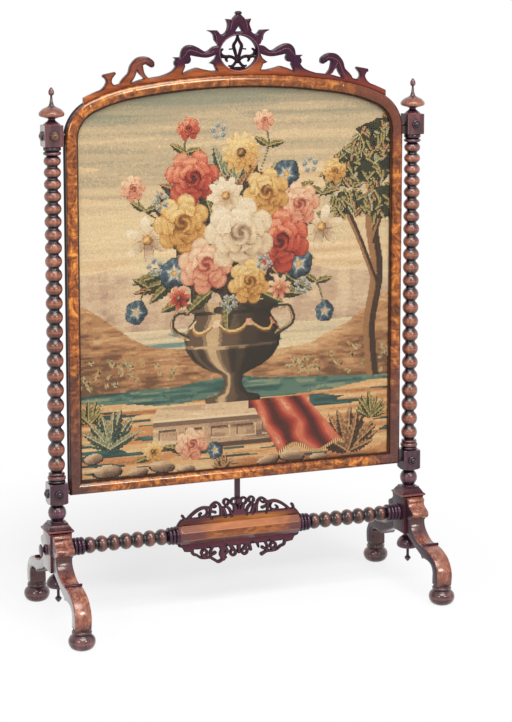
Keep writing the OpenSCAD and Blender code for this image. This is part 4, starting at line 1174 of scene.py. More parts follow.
def make_frets():
    for node in ("upper_fret", "lower_fret"):
        # Painted shade on the edges, and lighter faces
        fret = board_from(node, -4.0, 4.0, 1.0, back_bevel=0.7, side_rub=0.15, cap_rub=0.85, edge_rub=0.12,
                          pillow=0.5, reach=2.6, spacing=2.0)
        fret.make(node + "_board", [FRET_WOOD], "fret_wood", [node], 42)


def make_bar():
    low, high = (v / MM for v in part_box("support_bar"))
    block(low, high, 0.8).make("support_bar_dressed", [DARK_WOOD], "dark_rosewood", ["support_bar"], 50)


def rib(path, width, rise, closed=False):
    """A raised rounded rib, drawn on the crest's face from (x, height above the arch) points."""
    if closed:
        ahead = np.roll(path, -1, 0) - np.roll(path, 1, 0)
        share = np.ones(len(path))
    else:
        path = np.array(curve(path, 6))
        ahead = np.gradient(path, axis=0)
        share = np.sqrt(np.clip(1 - np.linspace(-1, 1, len(path)) ** 4, 0.02, 1))
    angles = np.linspace(0, math.pi, 7)
    n = len(angles)
    points = []
    for (x, z), (u, v), k in zip(path, unit(ahead), share):
        for a in angles:
            out = width / 2 * k * math.cos(a)
            points.append((x - v * out, -6.6 - (0.4 + rise * k) * math.sin(a), ARCH_Z + z + u * out))
    faces = [tuple(i % len(points) for i in face) for face in skin(len(path) + closed, n)]
    if not closed:
        faces += lids(len(path), n)
    # Painted shade at the rib's feet and a painted highlight along its top
    rub = [math.sin(a) ** 0.7 if 0 < a < 3 else 0.0 for a in angles] * len(path)
    return Shape(points, faces, rub).faced_out()


# The crest's oval, and the ribs of its right half with their widths
OVAL_W = 44.6
OVAL_H = 39.6
OVAL_Z = 46.5
RIBS = [([(20.5, 94), (18.5, 101), (17, 108), (14, 116), (8, 123)], 1.8),
        ([(29, 92), (25.5, 99), (23, 107), (25, 114)], 1.6),
        ([(48, 64), (51, 74), (53, 84), (58, 91)], 1.8),
        ([(228, 22), (222, 10), (214, -3)], 2.0),
        ([(254, -16), (245, -6), (237, 10), (230, 24), (218, 31), (207, 33), (200, 29)], 1.8),
        ([(130, 36), (122, 44), (116, 52), (108, 54), (96, 50), (82, 45.5), (68, 46), (56, 51)], 2.0)]


def make_crest():
    """The carved board, with painted shade along its edges but less along the arch, with a rib round its oval
    and ribs on its scrolls.
    """
    # Its edges take painted shade
    crest = board_from("crest", -7.0, 5.0, 1.5, back_bevel=0.8, side_rub=0.25, cap_rub=0.70, edge_rub=0.22,
                       pillow=0.5, reach=4.4)
    x, _, z = crest.points.T
    # Along the arch its edge takes less painted shade
    low = z < ARCH_Z - ARCH_FALL * x ** 2 + 2.5
    crest.rub = np.maximum(crest.rub, np.where(low, 0.6, 0.0))
    turns = np.linspace(0, 2 * math.pi, 72, endpoint=False)
    oval = np.stack([OVAL_W * np.cos(turns), OVAL_Z + OVAL_H * np.sin(turns)], 1)
    crest += rib(oval, 3.6, 1.5, True)
    for path, width in RIBS:
        for sign in (-1, 1):
            crest += rib([(sign * x, z) for x, z in path], width + 0.9, 1.2)
    crest.make("crest_board", [CREST_WOOD], "crest_wood", ["crest"], 42)
    # Painted shade on the edges
    tracery = board_from("crest_tracery", 0.0, 5.0, 1.3, back_bevel=0.5, cap_rub=0.8, edge_rub=0.4,
                         pillow=0.4, spacing=1.8)
    tracery.make("crest_tracery_carved", [TRACERY_WOOD], "crest_wood", ["crest_tracery"], 42)


# The frame. Its arch has three radii to a side. A station is a point of the outer edge with the way in, and
# the section is swept over the stations.

FRAME_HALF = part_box("right_stile")[1].x / MM
FRAME_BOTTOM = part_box("bottom_rail")[0].z / MM
CORNER_R = 87.0
SHOULDER_R = 360.0
CROWN_TURN = 9.2
SHOULDER_TURN = 25.0

# The moulding's width, the depth of its edges, the rearmost depths of its front and of its veneer, and how
# deep a hair line is
MOULDING_W = 24.0
EDGE_Y = -6.0
FRONT_Y = -4.5
VENEER_Y = -3.9
HAIR_LINE = 0.12


def way_out(turn):
    """The way from the centre of an arc at so many degrees from upright."""
    return np.array([math.sin(math.radians(turn)), math.cos(math.radians(turn))])


def arch_centres():
    s = way_out(CROWN_TURN)[0]
    k = way_out(SHOULDER_TURN)[0]
    crown_r = (FRAME_HALF - SHOULDER_R * (k - s) - CORNER_R * (1 - k)) / s
    crown = np.array([0, ARCH_Z - crown_r])
    shoulder = crown + (crown_r - SHOULDER_R) * way_out(CROWN_TURN)
    corner = shoulder + (SHOULDER_R - CORNER_R) * way_out(SHOULDER_TURN)
    return crown_r, crown, shoulder, corner


CROWN_R, CROWN_C, SHOULDER_C, CORNER_C = arch_centres()


def section():
    """Closed section of the moulding as (in from the outer edge, depth), with the front at negative depth."""
    half = MOULDING_W / 2
    turns = np.linspace(0, math.pi, 27)
    face = [(half - half * math.cos(a), EDGE_Y - 8 * math.sin(a) ** 0.92) for a in turns]
    sight_edge = [(MOULDING_W, -4.6), (MOULDING_W - 0.4, -4.0)]
    return [(0.0, 13.4), (0.0, EDGE_Y + 0.6)] + face + sight_edge + [(15.0, -4.0), (15.0, 14.0), (0.6, 14.0)]


def arc_stations(centre, radius, start, end, n):
    turns = np.radians(np.linspace(start, end, n))
    out = np.stack([np.cos(turns), np.sin(turns)], 1)
    return np.stack([centre + radius * out, -out], 1)


def straight_stations(start, end, way):
    return np.stack([np.linspace(start, end, 96), np.tile(way, (96, 1))], 1)


def near_ends(stations):
    """Adds a station half a millimetre from each end, so that the hair line there is narrow."""
    def close_to(end, other):
        return end + (other - end) * 0.5 / np.linalg.norm(other[0] - end[0])

    first = close_to(stations[0], stations[1])
    final = close_to(stations[-1], stations[-2])
    return np.concatenate([[stations[0], first], stations[1:-1], [final, stations[-1]]])


def moulding(name, node, stations, start, veneer):
    """One length of the frame, with a hair line at each end and a slight hand-made waver along its face. Its
    veneer runs from start, in millimetres, to what it gives."""
    spots, ways = near_ends(stations).swapaxes(0, 1)
    steps = np.linalg.norm(np.diff(spots + MOULDING_W / 2 * ways, axis=0), axis=1)
    run = start + np.append(0, np.cumsum(steps))
    waver = 0.10 * np.sin(run / 21.0) + 0.07 * np.sin(run / 8.3 + 1.1)
    waver[[0, -1]] += HAIR_LINE
    into, depth = np.array(section()).T
    proud = depth < EDGE_Y + 0.1
    face = np.where(proud, np.sin(math.pi * into / MOULDING_W), 0)
    x, z = (spots[:, None] + ways[:, None] * into[:, None]).transpose(2, 0, 1)
    y = depth + face * waver[:, None] + np.where(proud, 0.1, 0)
    n = len(into)
    shown = np.tile(depth < VENEER_Y, len(run))
    across = np.where(shown, np.tile(into, len(run)) * MM, -0.004)
    along = np.repeat(run, n) * MM
    faces = skin(len(run), n) + lids(len(run), n)
    rub = np.where(shown, PLAIN_WEAR_AND_SHADING, 0.5)
    made = Shape(np.stack([x, y, z], -1).reshape(-1, 3), faces, rub).faced_out()
    front = np.tile(depth < FRONT_Y, len(run))
    made.which = [0 if len(f) == 4 and all(front[i] for i in f) else 1 for f in made.faces]
    made.make(name, [veneer, SIDE_WOOD], "burr_veneer", [node], 30, along=along, across=across)
    return run[-1]


def make_frame():
    veneer = burr_veneer()
    rail = straight_stations((-FRAME_HALF, FRAME_BOTTOM), (FRAME_HALF, FRAME_BOTTOM), (0.0, 1.0))
    rail[[0, -1], 1] = [(1, 1), (-1, 1)]
    stile = straight_stations((FRAME_HALF, FRAME_BOTTOM), (FRAME_HALF, CORNER_C[1]), (-1.0, 0.0))
    stile[0, 1] = (-1, 1)
    corner = arc_stations(CORNER_C, CORNER_R, 0, 90 - SHOULDER_TURN, 26)
    shoulder = arc_stations(SHOULDER_C, SHOULDER_R, 90 - SHOULDER_TURN, 90 - CROWN_TURN, 20)
    crown = arc_stations(CROWN_C, CROWN_R, 90 - CROWN_TURN, 90 + CROWN_TURN, 64)

    def make_side(side, flip, run):
        for word, node, stations in (("stile", "stile", stile), ("corner", "arch_corner", corner),
                                     ("shoulder", "arch_shoulder", shoulder)):
            run = moulding(f"{side}_{word}_moulding", f"{side}_{node}", stations * (flip, 1), run, veneer)
        return run

    moulding("bottom_rail_moulding", "bottom_rail", rail, 0, veneer)
    moulding("crown_moulding", "arch_crown", crown, make_side("right", 1, 2000), veneer)
    make_side("left", -1, 7000)


# The needlework. It is painted stitch by stitch on arrays of the middles of the stitches, in millimetres,
# with a few tones of each wool, as a charted pattern has. The picture is a made-up urn of garden flowers.

SKY = [(126, 140, 126), (146, 150, 131), (169, 166, 142), (191, 181, 152), (200, 189, 157), (207, 196, 162),
       (213, 202, 168)]
BLUSH = [(196, 176, 144), (206, 188, 154), (214, 198, 166)]
HAZE = [(138, 126, 114), (156, 143, 128), (172, 159, 140), (186, 173, 151), (198, 186, 161)]
HILL = [(96, 72, 52), (126, 98, 70), (152, 122, 88), (174, 144, 106), (192, 166, 128)]
LAKE = [(96, 134, 134), (138, 160, 150), (176, 178, 156), (198, 191, 162), (210, 201, 170)]
EARTH = [(92, 60, 42), (122, 82, 54), (150, 106, 70), (176, 134, 92), (198, 164, 120), (212, 186, 146)]
TEAL = [(22, 44, 50), (32, 66, 70), (46, 88, 88), (74, 112, 104), (112, 138, 120)]
BRONZE = [(18, 14, 12), (33, 27, 23), (52, 44, 37), (82, 71, 58), (124, 112, 90), (176, 162, 130)]
STONE = [(74, 62, 54), (106, 92, 78), (138, 122, 102), (168, 151, 126), (196, 180, 152), (214, 200, 172)]
CRIMSON = [(62, 20, 22), (94, 30, 28), (126, 44, 36), (154, 68, 54), (182, 106, 84), (202, 148, 122)]
ROSE = [(112, 56, 50), (142, 80, 68), (170, 110, 92), (192, 142, 118), (206, 172, 146), (216, 196, 170)]
GOLD = [(86, 58, 30), (118, 84, 42), (148, 112, 58), (176, 142, 82), (196, 170, 112), (212, 194, 146)]
WHITE = [(112, 100, 84), (144, 132, 112), (172, 160, 136), (194, 184, 158), (210, 202, 178), (224, 218, 198)]
BLUE = [(24, 38, 54), (36, 58, 76), (58, 84, 102), (90, 116, 130), (132, 152, 156), (178, 188, 180)]
LEAF = [(20, 26, 20), (34, 44, 28), (54, 64, 36), (80, 88, 48), (112, 114, 68), (150, 146, 100)]
MOSS = [(26, 38, 38), (38, 60, 56), (58, 84, 72), (88, 112, 90), (126, 140, 110), (164, 166, 134)]
BARK = [(28, 19, 15), (48, 33, 24), (72, 51, 35), (100, 75, 50), (132, 104, 72), (164, 138, 100)]

# The wool has yellowed: every tone of the chart is warmed by this much, and held under BRIGHTEST
AGED = np.array([1.18, 1.015, 0.94])
BRIGHTEST = 250

# The depth of the stitches, and how far in from the frame's outer edge they end
CANVAS_Y = 1.5
CANVAS_IN = 16.2

# Where the urn stands, and the heights of its plinth's top, edge and foot
URN_X = -12
PLINTH_TOP = 452
PLINTH_EDGE = 426
PLINTH_FOOT = 356


def stitch_noise(x, z, across, up, seed):
    """Smooth noise from 0 to 1, with features of the given size in millimetres."""
    grid = np.random.RandomState(seed).rand(96, 96)
    u = (x + 4000) / across
    v = (z + 4000) / up
    i = np.floor(u).astype(int)
    j = np.floor(v).astype(int)
    s, t = [k * k * (3 - 2 * k) for k in (u - i, v - j)]
    low, high = [grid[i % 96, (j + b) % 96] * (1 - s) + grid[(i + 1) % 96, (j + b) % 96] * s for b in (0, 1)]
    return low * (1 - t) + high * t


def hump(value, middle, width):
    return np.exp(-((value - middle) / width) ** 2)


class Chart:
    """The colour of each stitch, where x and z are the middles of the stitches."""

    def __init__(self, x, z):
        self.x = x
        self.z = z
        self.colour = np.zeros(x.shape + (3,))
        self.grit = np.random.RandomState(5).rand(*x.shape)

    def noise(self, across, up, seed):
        return stitch_noise(self.x, self.z, across, up, seed)

    def fill(self, mask, tones, value, spread):
        """Stitches a mask, from the first tone where value is 0 to the last where it is 1."""
        level = np.clip(value, 0, 0.999) * len(tones) + (self.grit - 0.5) * spread
        index = np.clip(np.floor(level), 0, len(tones) - 1).astype(int)
        self.colour[mask] = np.array(tones, float)[index[mask]]

    def turned(self, x, z, angle):
        """Where each stitch lies from (x, z), along a way at an angle and across it."""
        c = math.cos(math.radians(angle))
        s = math.sin(math.radians(angle))
        return (self.x - x) * c + (self.z - z) * s, (self.z - z) * c - (self.x - x) * s

    def petal(self, x, z, length, width, angle, tones, base, tip, edge=0.35):
        """A rounded petal whose narrow end is at (x, z)."""
        u, v = self.turned(x, z, angle)
        t = u / length
        half = width / 2 * np.sqrt(np.clip(1 - (2 * np.clip(t, 0, 1) ** 1.35 - 1) ** 2, 0, 1))
        side = v / np.maximum(half, 1)
        up = math.sin(math.radians(angle))
        right = math.cos(math.radians(angle))
        value = base + (tip - base) * t + 0.16 * (up - 0.45 * right) + 0.10 * side * right
        value -= edge * np.clip((t - 0.86) / 0.14, 0, 1) + 0.30 * np.clip((np.abs(side) - 0.80) / 0.2, 0, 1)
        value -= 0.06 * np.sin(v * 1.3) * t
        self.fill((t > 0) & (t < 1) & (np.abs(v) < half), tones, value, 0.25)

    def rose(self, x, z, r, tones, seed):
        rng = np.random.RandomState(seed)
        start = rng.rand() * 360
        for ring, (count, out, size) in enumerate(((7, 0.36, 0.70), (6, 0.20, 0.60), (5, 0.05, 0.52))):
            for k in rng.permutation(count):
                angle = start + ring * 31 + k * 360 / count + rng.uniform(-8, 8)
                away = out * r * 0.4
                self.petal(x + math.cos(math.radians(angle)) * away, z + math.sin(math.radians(angle)) * away,
                           r * (out + size), r * 0.78, angle, tones, 0.12 + 0.05 * ring, 0.88)
        u, v = self.turned(x + r * 0.04, z + r * 0.04, start)
        rho = np.hypot(u, v) / (r * 0.36)
        swirl = 0.5 + 0.5 * np.sin(np.arctan2(v, u) * 2 + rho * 7.5)
        self.fill(rho < 1, tones, 0.10 + 0.55 * swirl * (0.35 + 0.65 * rho) + 0.1 * (v > 0), 0.2)
        self.fill(rho < 0.26, tones, 0.05, 0.1)

    def star(self, x, z, r, tones, count, heart, seed, width, rings=1):
        start = np.random.RandomState(seed).rand() * 360
        for ring in range(rings):
            size = r * (1 - 0.26 * ring)
            for k in range(count):
                angle = start + (k + 0.5 * (ring % 2)) * 360 / count
                self.petal(x, z, size, r * width, angle, tones, 0.22 + 0.08 * ring, 0.92, 0.15)
        u, v = self.turned(x, z, 0)
        rho = np.hypot(u, v) / (r * 0.22)
        self.fill(rho < 1, heart, 0.85 - 0.7 * rho + 0.25 * (v > u), 0.6)

    def trumpet(self, x, z, r, tones, seed):
        """A convolvulus seen from the front: a coloured rim, a pale star and a gold throat."""
        u, v = self.turned(x, z, 17 * seed)
        rho = np.hypot(u, v * 1.12) / r
        theta = np.arctan2(v, u)
        ray = np.cos(5 * theta)
        edge = np.clip((rho - 0.9) / 0.1, 0, 1)
        rim = 0.22 + 0.30 * (v > 0) * rho - 0.22 * edge + 0.10 * np.sin(theta * 10)
        star = np.clip(1.25 - 1.7 * rho, 0, 1) + 0.35 * (ray > 0.64) * (rho < 0.86)
        self.fill(rho < 1 + 0.05 * ray, tones, np.maximum(rim, star), 0.25)
        self.fill(rho < 0.2, GOLD, 0.9 - 2 * rho, 0.3)

    def leaf(self, x, z, length, width, angle, tones, teeth=7, bend=0.0, lobes=0.10):
        """A toothed leaf whose stalk is at (x, z), lit on its upper half, with pale veins."""
        u, v = self.turned(x, z, angle)
        t = np.clip(u / length, 0, 1)
        v = v - bend * length * t ** 2
        saw = 1 - lobes * (1 - np.abs(((t * teeth) % 1) * 2 - 1))
        half = width / 2 * np.sin(math.pi * t ** 0.72) ** 0.9 * saw
        side = v / np.maximum(half, 0.5) * math.copysign(1, math.cos(math.radians(angle)))
        value = 0.40 + 0.30 * np.sign(side) * (0.4 + 0.6 * np.abs(side)) + 0.10 * t
        value += 0.20 * (np.abs(((t * teeth - np.abs(v) / width * 1.5) % 1) - 0.5) < 0.11)
        value = np.where(np.abs(v) < 1.5, 0.92, value) - 0.25 * (np.abs(side) > 0.86)
        self.fill((u > 0) & (u < length) & (np.abs(v) < half), tones, value, 0.25)

    def stem(self, points, width, tones):
        path = curve(points, 14)
        best = np.full(self.x.shape, 1e9)
        side = np.zeros(self.x.shape)
        for (x, z), (x1, z1) in zip(path[:-1], path[1:]):
            away = np.hypot(self.x - x, self.z - z)
            near = away < best
            best = np.where(near, away, best)
            side = np.where(near, (self.z - z) * (x1 - x) - (self.x - x) * (z1 - z), side)
        self.fill(best < width / 2, tones, 0.5 + 0.3 * np.sign(side), 0.2)


def paint_sky(c):
    drift = c.noise(230, 13, 1) * 0.32 + c.noise(90, 6, 2) * 0.16 + c.noise(420, 40, 3) * 0.30
    c.fill(c.z > 0, SKY, 0.70 - 0.92 * np.clip((c.z - 560) / 560, 0, 1) + 0.88 * drift, 0.6)
    c.fill((c.noise(300, 22, 4) > 0.66) & (c.z > 700) & (c.z < 1000), BLUSH, c.noise(120, 8, 5), 0.5)


def paint_hills(c):
    ridge = 706 + 46 * hump(c.x, -300, 90) + 66 * hump(c.x, 60, 150) + 22 * c.noise(46, 900, 6)
    c.fill((c.z < ridge) & (c.z > 600), HAZE, 0.35 + 0.5 * c.noise(34, 26, 7) + (c.z - 640) / 400
           - 0.14 * (c.noise(22, 60, 8) > 0.6) + 0.30 * (c.noise(16, 5, 27) - 0.5), 0.4)
    c.fill((c.z <= 622) & (c.z > 520), LAKE,
           0.35 + 0.75 * c.noise(120, 5, 9) - 0.42 * (c.noise(150, 7, 10) > 0.66), 0.3)
    left = 560 + 96 * hump(c.x, -370, 120) + 16 * c.noise(38, 900, 11) - 0.06 * c.x
    c.fill((c.z < left) & (c.x < 40), HILL, 0.45 + 0.5 * c.noise(40, 14, 12) + (c.z - left) / 260
           - 0.16 * (c.noise(60, 12, 13) > 0.62) + 0.45 * (c.noise(20, 4, 28) - 0.5), 0.4)
    right = 548 + 120 * hump(c.x, 380, 150) + 14 * c.noise(30, 900, 14)
    c.fill((c.z < right) & (c.x > 10), HILL, 0.42 + 0.55 * c.noise(44, 16, 15) + (c.z - right) / 300
           + 0.45 * (c.noise(20, 4, 29) - 0.5), 0.4)
    rng = np.random.RandomState(30)
    for _ in range(120):
        x = rng.uniform(-365, 365)
        low = 505 + rng.uniform(0, 75) * min(1, abs(x) / 300) - 0.05 * abs(x)
        if abs(x - URN_X) < 130:
            continue
        for a in (62, 84, 104, 124):
            c.leaf(x, low, rng.uniform(9, 17), 4.6, a, (MOSS, BARK, LEAF)[rng.randint(3)], 3, 0.1, 0.0)


def paint_tree(c):
    c.stem([(322, 480), (312, 600), (330, 720), (316, 840), (328, 960)], 30, BARK)
    c.stem([(326, 700), (290, 790), (262, 850)], 14, BARK)
    c.stem([(318, 790), (350, 880)], 12, BARK)
    rng = np.random.RandomState(31)
    for x, z, r, n in ((300, 960, 84, 90), (340, 880, 54, 50), (262, 880, 46, 46), (330, 1030, 58, 50),
                       (232, 940, 36, 30)):
        u, v = c.turned(x, z, 0)
        mass = np.hypot(u / r, v / (r * 0.72)) < 0.55 + 0.55 * c.noise(20, 15, 33)
        c.fill(mass, LEAF[:4], 0.05 + 0.45 * c.noise(15, 11, 34) + 0.2 * v / r, 0.4)
        for _ in range(n):
            a = rng.rand() * 2 * math.pi
            away = r * math.sqrt(rng.rand())
            tones = LEAF if rng.rand() < 0.62 else MOSS if rng.rand() < 0.5 else BARK
            c.leaf(x + away * math.cos(a), z + away * 0.72 * math.sin(a), rng.uniform(17, 28),
                   rng.uniform(9, 13), rng.uniform(-160, -20), tones, 3, 0.0, 0.05)


def paint_ground(c):
    bank = 500 + 12 * c.noise(70, 900, 16) - 0.05 * np.abs(c.x)
    c.fill(c.z < bank, TEAL, 0.40 + 0.55 * c.noise(90, 8, 17) - 0.18 * (c.noise(40, 5, 18) > 0.6), 0.4)
    path = 452 + 26 * c.noise(120, 900, 19)
    c.fill(c.z < path, EARTH, 0.30 + 0.62 * c.noise(130, 9, 20) + 0.1 * c.noise(30, 5, 21), 0.5)
    c.fill((c.noise(95, 6, 22) > 0.70) & (c.z < path), TEAL, 0.15 + 0.5 * c.noise(40, 5, 23), 0.4)
    pebbles = ((-300, 322, 34, 15), (-232, 314, 24, 11), (-176, 322, 30, 13), (-120, 312, 20, 9),
               (70, 314, 26, 11), (126, 320, 32, 14), (190, 311, 22, 10), (-330, 352, 22, 12))
    for k, (x, z, half_w, half_h) in enumerate(pebbles):
        u, v = c.turned(x, z, 8 * math.sin(k * 2.1))
        rho = np.hypot(u / half_w, v / half_h)
        tone = 0.40 + 0.42 * v / half_h - 0.25 * u / half_w + 0.2 * (c.noise(12, 8, 24 + k) - 0.5)
        c.fill(rho < 1, STONE, tone, 0.3)
        c.fill((rho > 0.88) & (rho < 1.04) & (v < 0), BARK, 0.1, 0.1)


def paint_plinth(c):
    x = c.x - URN_X
    top = (c.z < PLINTH_TOP) & (c.z > PLINTH_EDGE) & (np.abs(x) < 172 + (PLINTH_TOP - c.z) * 0.7)
    c.fill(top, STONE, 0.72 + 0.3 * (c.noise(60, 5, 40) - 0.5), 0.3)
    front = (c.z <= PLINTH_EDGE) & (c.z > PLINTH_FOOT) & (np.abs(x) < 184)
    c.fill(front, STONE, 0.46 + 0.35 * (c.noise(50, 9, 41) - 0.5) - 0.0012 * x, 0.4)
    for low, high, tone in ((PLINTH_EDGE - 7, PLINTH_EDGE, 0.86), (PLINTH_EDGE - 16, PLINTH_EDGE - 7, 0.22),
                            (PLINTH_FOOT, PLINTH_FOOT + 9.99, 0.14)):
        c.fill(front & (c.z > low) & (c.z <= high), STONE, tone, 0.2)
    for middle in range(-150, 151, 60):
        u = np.abs(x - middle)
        v = np.abs(c.z - 388)
        c.fill(front & (u < 23) & (v < 14) & ((u > 19.5) | (v > 10.5)), STONE,
               0.16 + 0.6 * ((c.z < 380) | (x > middle + 18)), 0.2)


# The urn as (height, half-width) rows
URN = [(PLINTH_TOP, 62), (460, 66), (466, 58), (472, 34), (492, 20), (512, 24), (520, 40), (530, 66),
       (548, 92), (572, 108), (600, 112), (622, 104), (640, 90), (650, 88), (658, 100), (668, 108),
       (676, 106)]


def paint_urn(c):
    u = (c.x - URN_X) / np.maximum(graded(c.z, URN, left=0, right=0), 1)
    mask = (np.abs(u) < 1) & (c.z >= PLINTH_TOP) & (c.z <= URN[-1][0])
    round_light = np.sqrt(np.clip(1 - u * u, 0, 1))
    turn = np.arcsin(np.clip(u, -1, 1))
    value = 0.12 + 0.42 * round_light - 0.28 * u + 0.55 * hump(u, -0.42, 0.13) + 0.16 * hump(u, 0.82, 0.1)
    value -= 0.26 * (0.5 + 0.5 * np.cos(turn * 16)) * ((c.z > 518) & (c.z < 574))
    value -= 0.3 * ((c.z > 648) & (c.z < 655))
    value += 0.25 * (np.abs(c.z - 582 + 8 * round_light) < 3.5)
    c.fill(mask, BRONZE, value, 0.3)
    part = (turn / math.pi * 4 + 0.5) % 1
    swag = 632 - 100 * part * (1 - part)
    c.fill(mask & (np.abs(c.z - swag) < 5.5), GOLD, 0.25 + 0.6 * (c.z > swag) - 0.2 * u, 0.5)
    c.fill(mask & (np.minimum(part, 1 - part) < 0.09) & (np.abs(c.z - 628) < 8), ROSE, 0.8 - 0.4 * u, 0.5)
    handle = ((104, 600), (138, 622), (132, 654), (102, 656))
    for s in (-1, 1):
        c.stem([(URN_X + s * x, z) for x, z in handle], 11, BRONZE[1:])


def paint_drapery(c):
    """A fringed crimson cloth that falls over the plinth's right end to the ground."""
    u = c.x - 96 - (PLINTH_TOP - c.z) * 0.62
    drop = 450 - c.z
    wave = 10 * np.sin(c.x / 17)
    mask = (drop > 0) & (c.z > 332 + wave) & (u > -66 - drop * 0.10) & (u < 62 + drop * 0.25)
    mask |= (c.z >= 436) & (c.z < 456) & (c.x > 24) & (c.x < 168)
    folds = 0.5 + 0.5 * np.sin(u / (9 + drop * 0.022) + 2.2 * c.noise(60, 40, 45))
    c.fill(mask, CRIMSON, 0.10 + 0.80 * folds * (0.7 + 0.3 * c.noise(30, 22, 46)), 0.3)
    c.fill(mask & (c.z < 340 + wave), GOLD, 0.3 + 0.6 * (np.sin(c.x * 1.25) > 0), 0.4)


def paint_plants(c):
    rng = np.random.RandomState(52)
    for x, z, count, size, tones in ((262, 318, 15, 104, BARK), (-292, 372, 13, 92, MOSS),
                                     (318, 392, 9, 62, LEAF), (-36, 306, 9, 40, BARK),
                                     (-338, 430, 8, 56, LEAF)):
        for k in rng.permutation(count):
            angle = 12 + 156 * (k + 0.5) / count + rng.uniform(-5, 5)
            length = size * (0.62 + 0.38 * math.sin(math.radians(angle))) * rng.uniform(0.88, 1.08)
            c.leaf(x, z, length, length * 0.30, angle, tones, 7, rng.uniform(-0.16, 0.16), 0.34)


def roses(c, *flowers):
    for flower in flowers:
        c.rose(*flower)


def paint_bouquet(c):
    rng = np.random.RandomState(60)
    shade = np.hypot((c.x - URN_X) / 176, (c.z - 812) / 170) < 0.66 + 0.34 * c.noise(26, 26, 59)
    c.fill(shade, BRONZE[:3] + BARK[:2], 0.10 + 0.75 * c.noise(14, 20, 58), 0.5)
    for k in range(84):
        a = rng.uniform(-30, 210)
        away = rng.uniform(70, 200)
        x = URN_X + away * 0.92 * math.cos(math.radians(a))
        z = 790 + away * 0.86 * math.sin(math.radians(a))
        c.leaf(x, z, rng.uniform(44, 74), rng.uniform(20, 30), a + rng.uniform(-35, 35),
               (LEAF, BARK, MOSS, BARK)[k % 4], 6, rng.uniform(-0.12, 0.12), 0.16)
    for x, z, a in ((-60, 700, 215), (40, 700, -30), (-110, 690, 200), (80, 694, -12), (-20, 684, 262),
                    (112, 726, -34), (-146, 728, 216)):
        c.leaf(x, z, 76, 30, a, LEAF, 7, 0.06, 0.2)
    for points in ([(40, 930), (70, 1010), (60, 1066)], [(-80, 930), (-120, 1000), (-112, 1052)],
                   [(140, 860), (196, 900), (226, 950)], [(-160, 850), (-210, 880), (-238, 930)],
                   [(-150, 740), (-206, 716), (-232, 664)], [(120, 730), (184, 706), (204, 640)]):
        c.stem(points, 5, LEAF[1:5])
        for s in (-1, 1):
            c.leaf(*points[1], 42, 17, 80 + s * 62, LEAF, 5, 0.1 * s, 0.1)
    roses(c, (-112, 1052, 22, CRIMSON, 3), (60, 1066, 20, ROSE, 5), (226, 950, 24, GOLD, 7),
          (-238, 930, 24, ROSE, 9))
    c.star(-206, 818, 52, WHITE, 6, GOLD, 2, 0.44)
    c.star(196, 828, 50, WHITE, 6, GOLD, 8, 0.44)
    c.star(8, 998, 46, GOLD, 12, BARK, 4, 0.34, 3)
    for x, z, r, seed in ((-146, 744, 36, 1), (142, 748, 34, 2), (112, 948, 33, 3), (-232, 664, 27, 4),
                          (204, 640, 24, 5)):
        c.trumpet(x, z, r, BLUE, seed)
    roses(c, (-104, 946, 52, CRIMSON, 11), (142, 880, 42, ROSE, 12), (-128, 850, 54, GOLD, 13),
          (66, 908, 46, GOLD, 14))
    c.star(-28, 906, 44, WHITE, 9, GOLD, 15, 0.40, 2)
    roses(c, (96, 800, 60, CRIMSON, 16), (-76, 756, 52, ROSE, 17), (4, 820, 68, WHITE, 18),
          (26, 716, 42, GOLD, 19))
    c.star(-136, 690, 27, CRIMSON, 7, BARK, 20, 0.46)
    c.star(96, 700, 28, ROSE, 8, GOLD, 21, 0.42)
    for x, z in ((-176, 900), (-44, 1046), (168, 966), (-190, 760), (60, 756), (-20, 672), (150, 700)):
        for k in range(5):
            a = math.radians(72 * k + x)
            c.star(x + 13 * math.cos(a), z + 13 * math.sin(a), 8, BLUE[2:], 5, GOLD[3:], k, 0.7)


def paint_fallen(c):
    c.leaf(-118, 352, 60, 24, 160, LEAF, 6, 0.1, 0.2)
    c.leaf(-96, 350, 56, 22, 14, MOSS, 6, -0.1, 0.2)
    c.rose(-108, 366, 32, ROSE, 33)
    c.leaf(-196, 348, 46, 18, 190, LEAF, 6, 0.1, 0.2)
    c.star(-196, 358, 24, GOLD, 10, BARK, 34, 0.38, 2)
    c.trumpet(-54, 348, 20, BLUE, 6)


def in_frame(x, z, d):
    """Says which points lie inside the frame's outer edge by at least d."""
    def within(centre, radius):
        return np.hypot(np.abs(x) - centre[0], z - centre[1]) < radius - d

    def turn(centre):
        return np.degrees(np.arctan2(np.abs(x) - centre[0], z - centre[1]))

    by_shoulder = (turn(SHOULDER_C) > CROWN_TURN) & (turn(SHOULDER_C) <= SHOULDER_TURN) & (z > SHOULDER_C[1])
    by_corner = (turn(CORNER_C) > SHOULDER_TURN) & (turn(CORNER_C) < 90) & (z > CORNER_C[1])
    straight = (np.abs(x) < FRAME_HALF - d) & (z > FRAME_BOTTOM + d)
    return (straight & within(CROWN_C, CROWN_R) & (within(SHOULDER_C, SHOULDER_R) | ~by_shoulder)
            & (within(CORNER_C, CORNER_R) | ~by_corner))


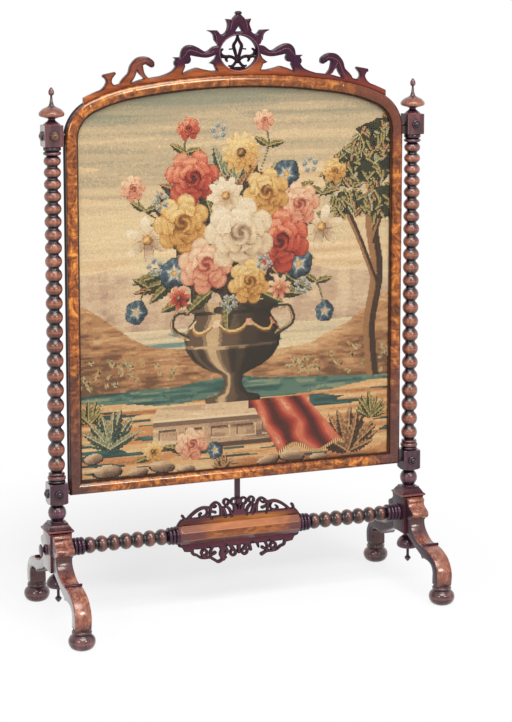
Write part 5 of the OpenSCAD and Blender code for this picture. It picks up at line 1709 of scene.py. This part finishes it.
def make_needlework():
    low, high = (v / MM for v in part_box("needlework_canvas"))
    nx = int((high.x - low.x) / STITCH)
    nz = int((high.z - low.z) / STITCH)
    xs = (np.arange(nx) - (nx - 1) / 2) * STITCH
    zs = low.z + 0.5 + (np.arange(nz) + 0.5) * STITCH
    z, x = np.meshgrid(zs, xs, indexing="ij")
    chart = Chart(x, z)
    for paint in (paint_sky, paint_hills, paint_tree, paint_ground, paint_plinth, paint_plants, paint_drapery,
                  paint_urn, paint_bouquet, paint_fallen):
        paint(chart)
    j, i = np.nonzero(in_frame(x, z, CANVAS_IN) & (np.abs(x) < high.x - STITCH * 0.4))
    half = STITCH / 2
    edges = [np.append(middles - half, middles[-1] + half) for middles in (zs, xs)]
    pz, px = np.meshgrid(*edges, indexing="ij")
    uneven = 0.25 * stitch_noise(px, pz, 40, 40, 71)
    py = CANVAS_Y + uneven + 0.06 * np.random.RandomState(72).rand(*px.shape)
    points = np.stack([px, py, pz], -1).reshape(-1, 3)
    row = nx + 1
    corner = j * row + i
    stitches = np.stack([corner, corner + 1, corner + 1 + row, corner + row], 1)
    used, faces = np.unique(stitches, return_inverse=True)
    canvas = Shape(points[used], faces.reshape(-1, 4).tolist())
    made = canvas.make("needlework_stitches", [woolwork()], "needlework", ["needlework_canvas"])
    share = chart.colour[j, i] * AGED / BRIGHTEST
    colour = linear(BRIGHTEST * share / (1 + share ** 6) ** (1 / 6))
    wool = np.concatenate([colour, np.ones((len(colour), 1))], 1)
    layer = made.data.color_attributes.new("wool", "FLOAT_COLOR", "CORNER")
    layer.data.foreach_set("color", np.repeat(wool, 4, 0).astype(np.float32).ravel())


# The scene

def dress(finish, *names):
    """Gives a material to parts that keep their CAD shape."""
    for name in names:
        mesh = NODES[name].data
        mesh.materials.clear()
        mesh.materials.append(finish)


dress(plain_wood("dowel_beech", (150, 112, 70), (186, 148, 98), (206, 172, 122)), "leg_dowels",
      "crest_dowels")
dress(plain_wood("strainer_pine", (150, 112, 66), (186, 150, 98), (208, 176, 124)), "strainer")
dress(plain_wood("board_stained", (62, 42, 28), (98, 70, 46), (126, 94, 64)), "back_board")
dress(metal("screw_brass", (196, 154, 88), (116, 88, 52), 0.34), "back_board_screws")
dress(metal("pin_iron", (92, 86, 82), (58, 44, 38), 0.42), "frame_pins")
dress(ebony(), "sight_slip")
dress(glass(), "glass_pane")

make_posts()
make_finials()
make_bosses()
make_caps()
make_pedestals()
make_pendants()
make_knobs()
make_legs()
make_feet()
make_stretcher()
make_frets()
make_bar()
make_crest()
make_frame()
make_needlework()

make_camera()
make_world()
make_floor()
soft_box("key", (1.1, -4.0, 2.5), (0.9, 0.8), 62)
soft_box("fill", (-3.0, -2.8, 2.0), (0.7, 1.0), 38)
soft_box("top", (-0.2, -1.9, 3.7), (2.4, 1.8), 130)
bpy.context.scene.view_settings.view_transform = "Standard"
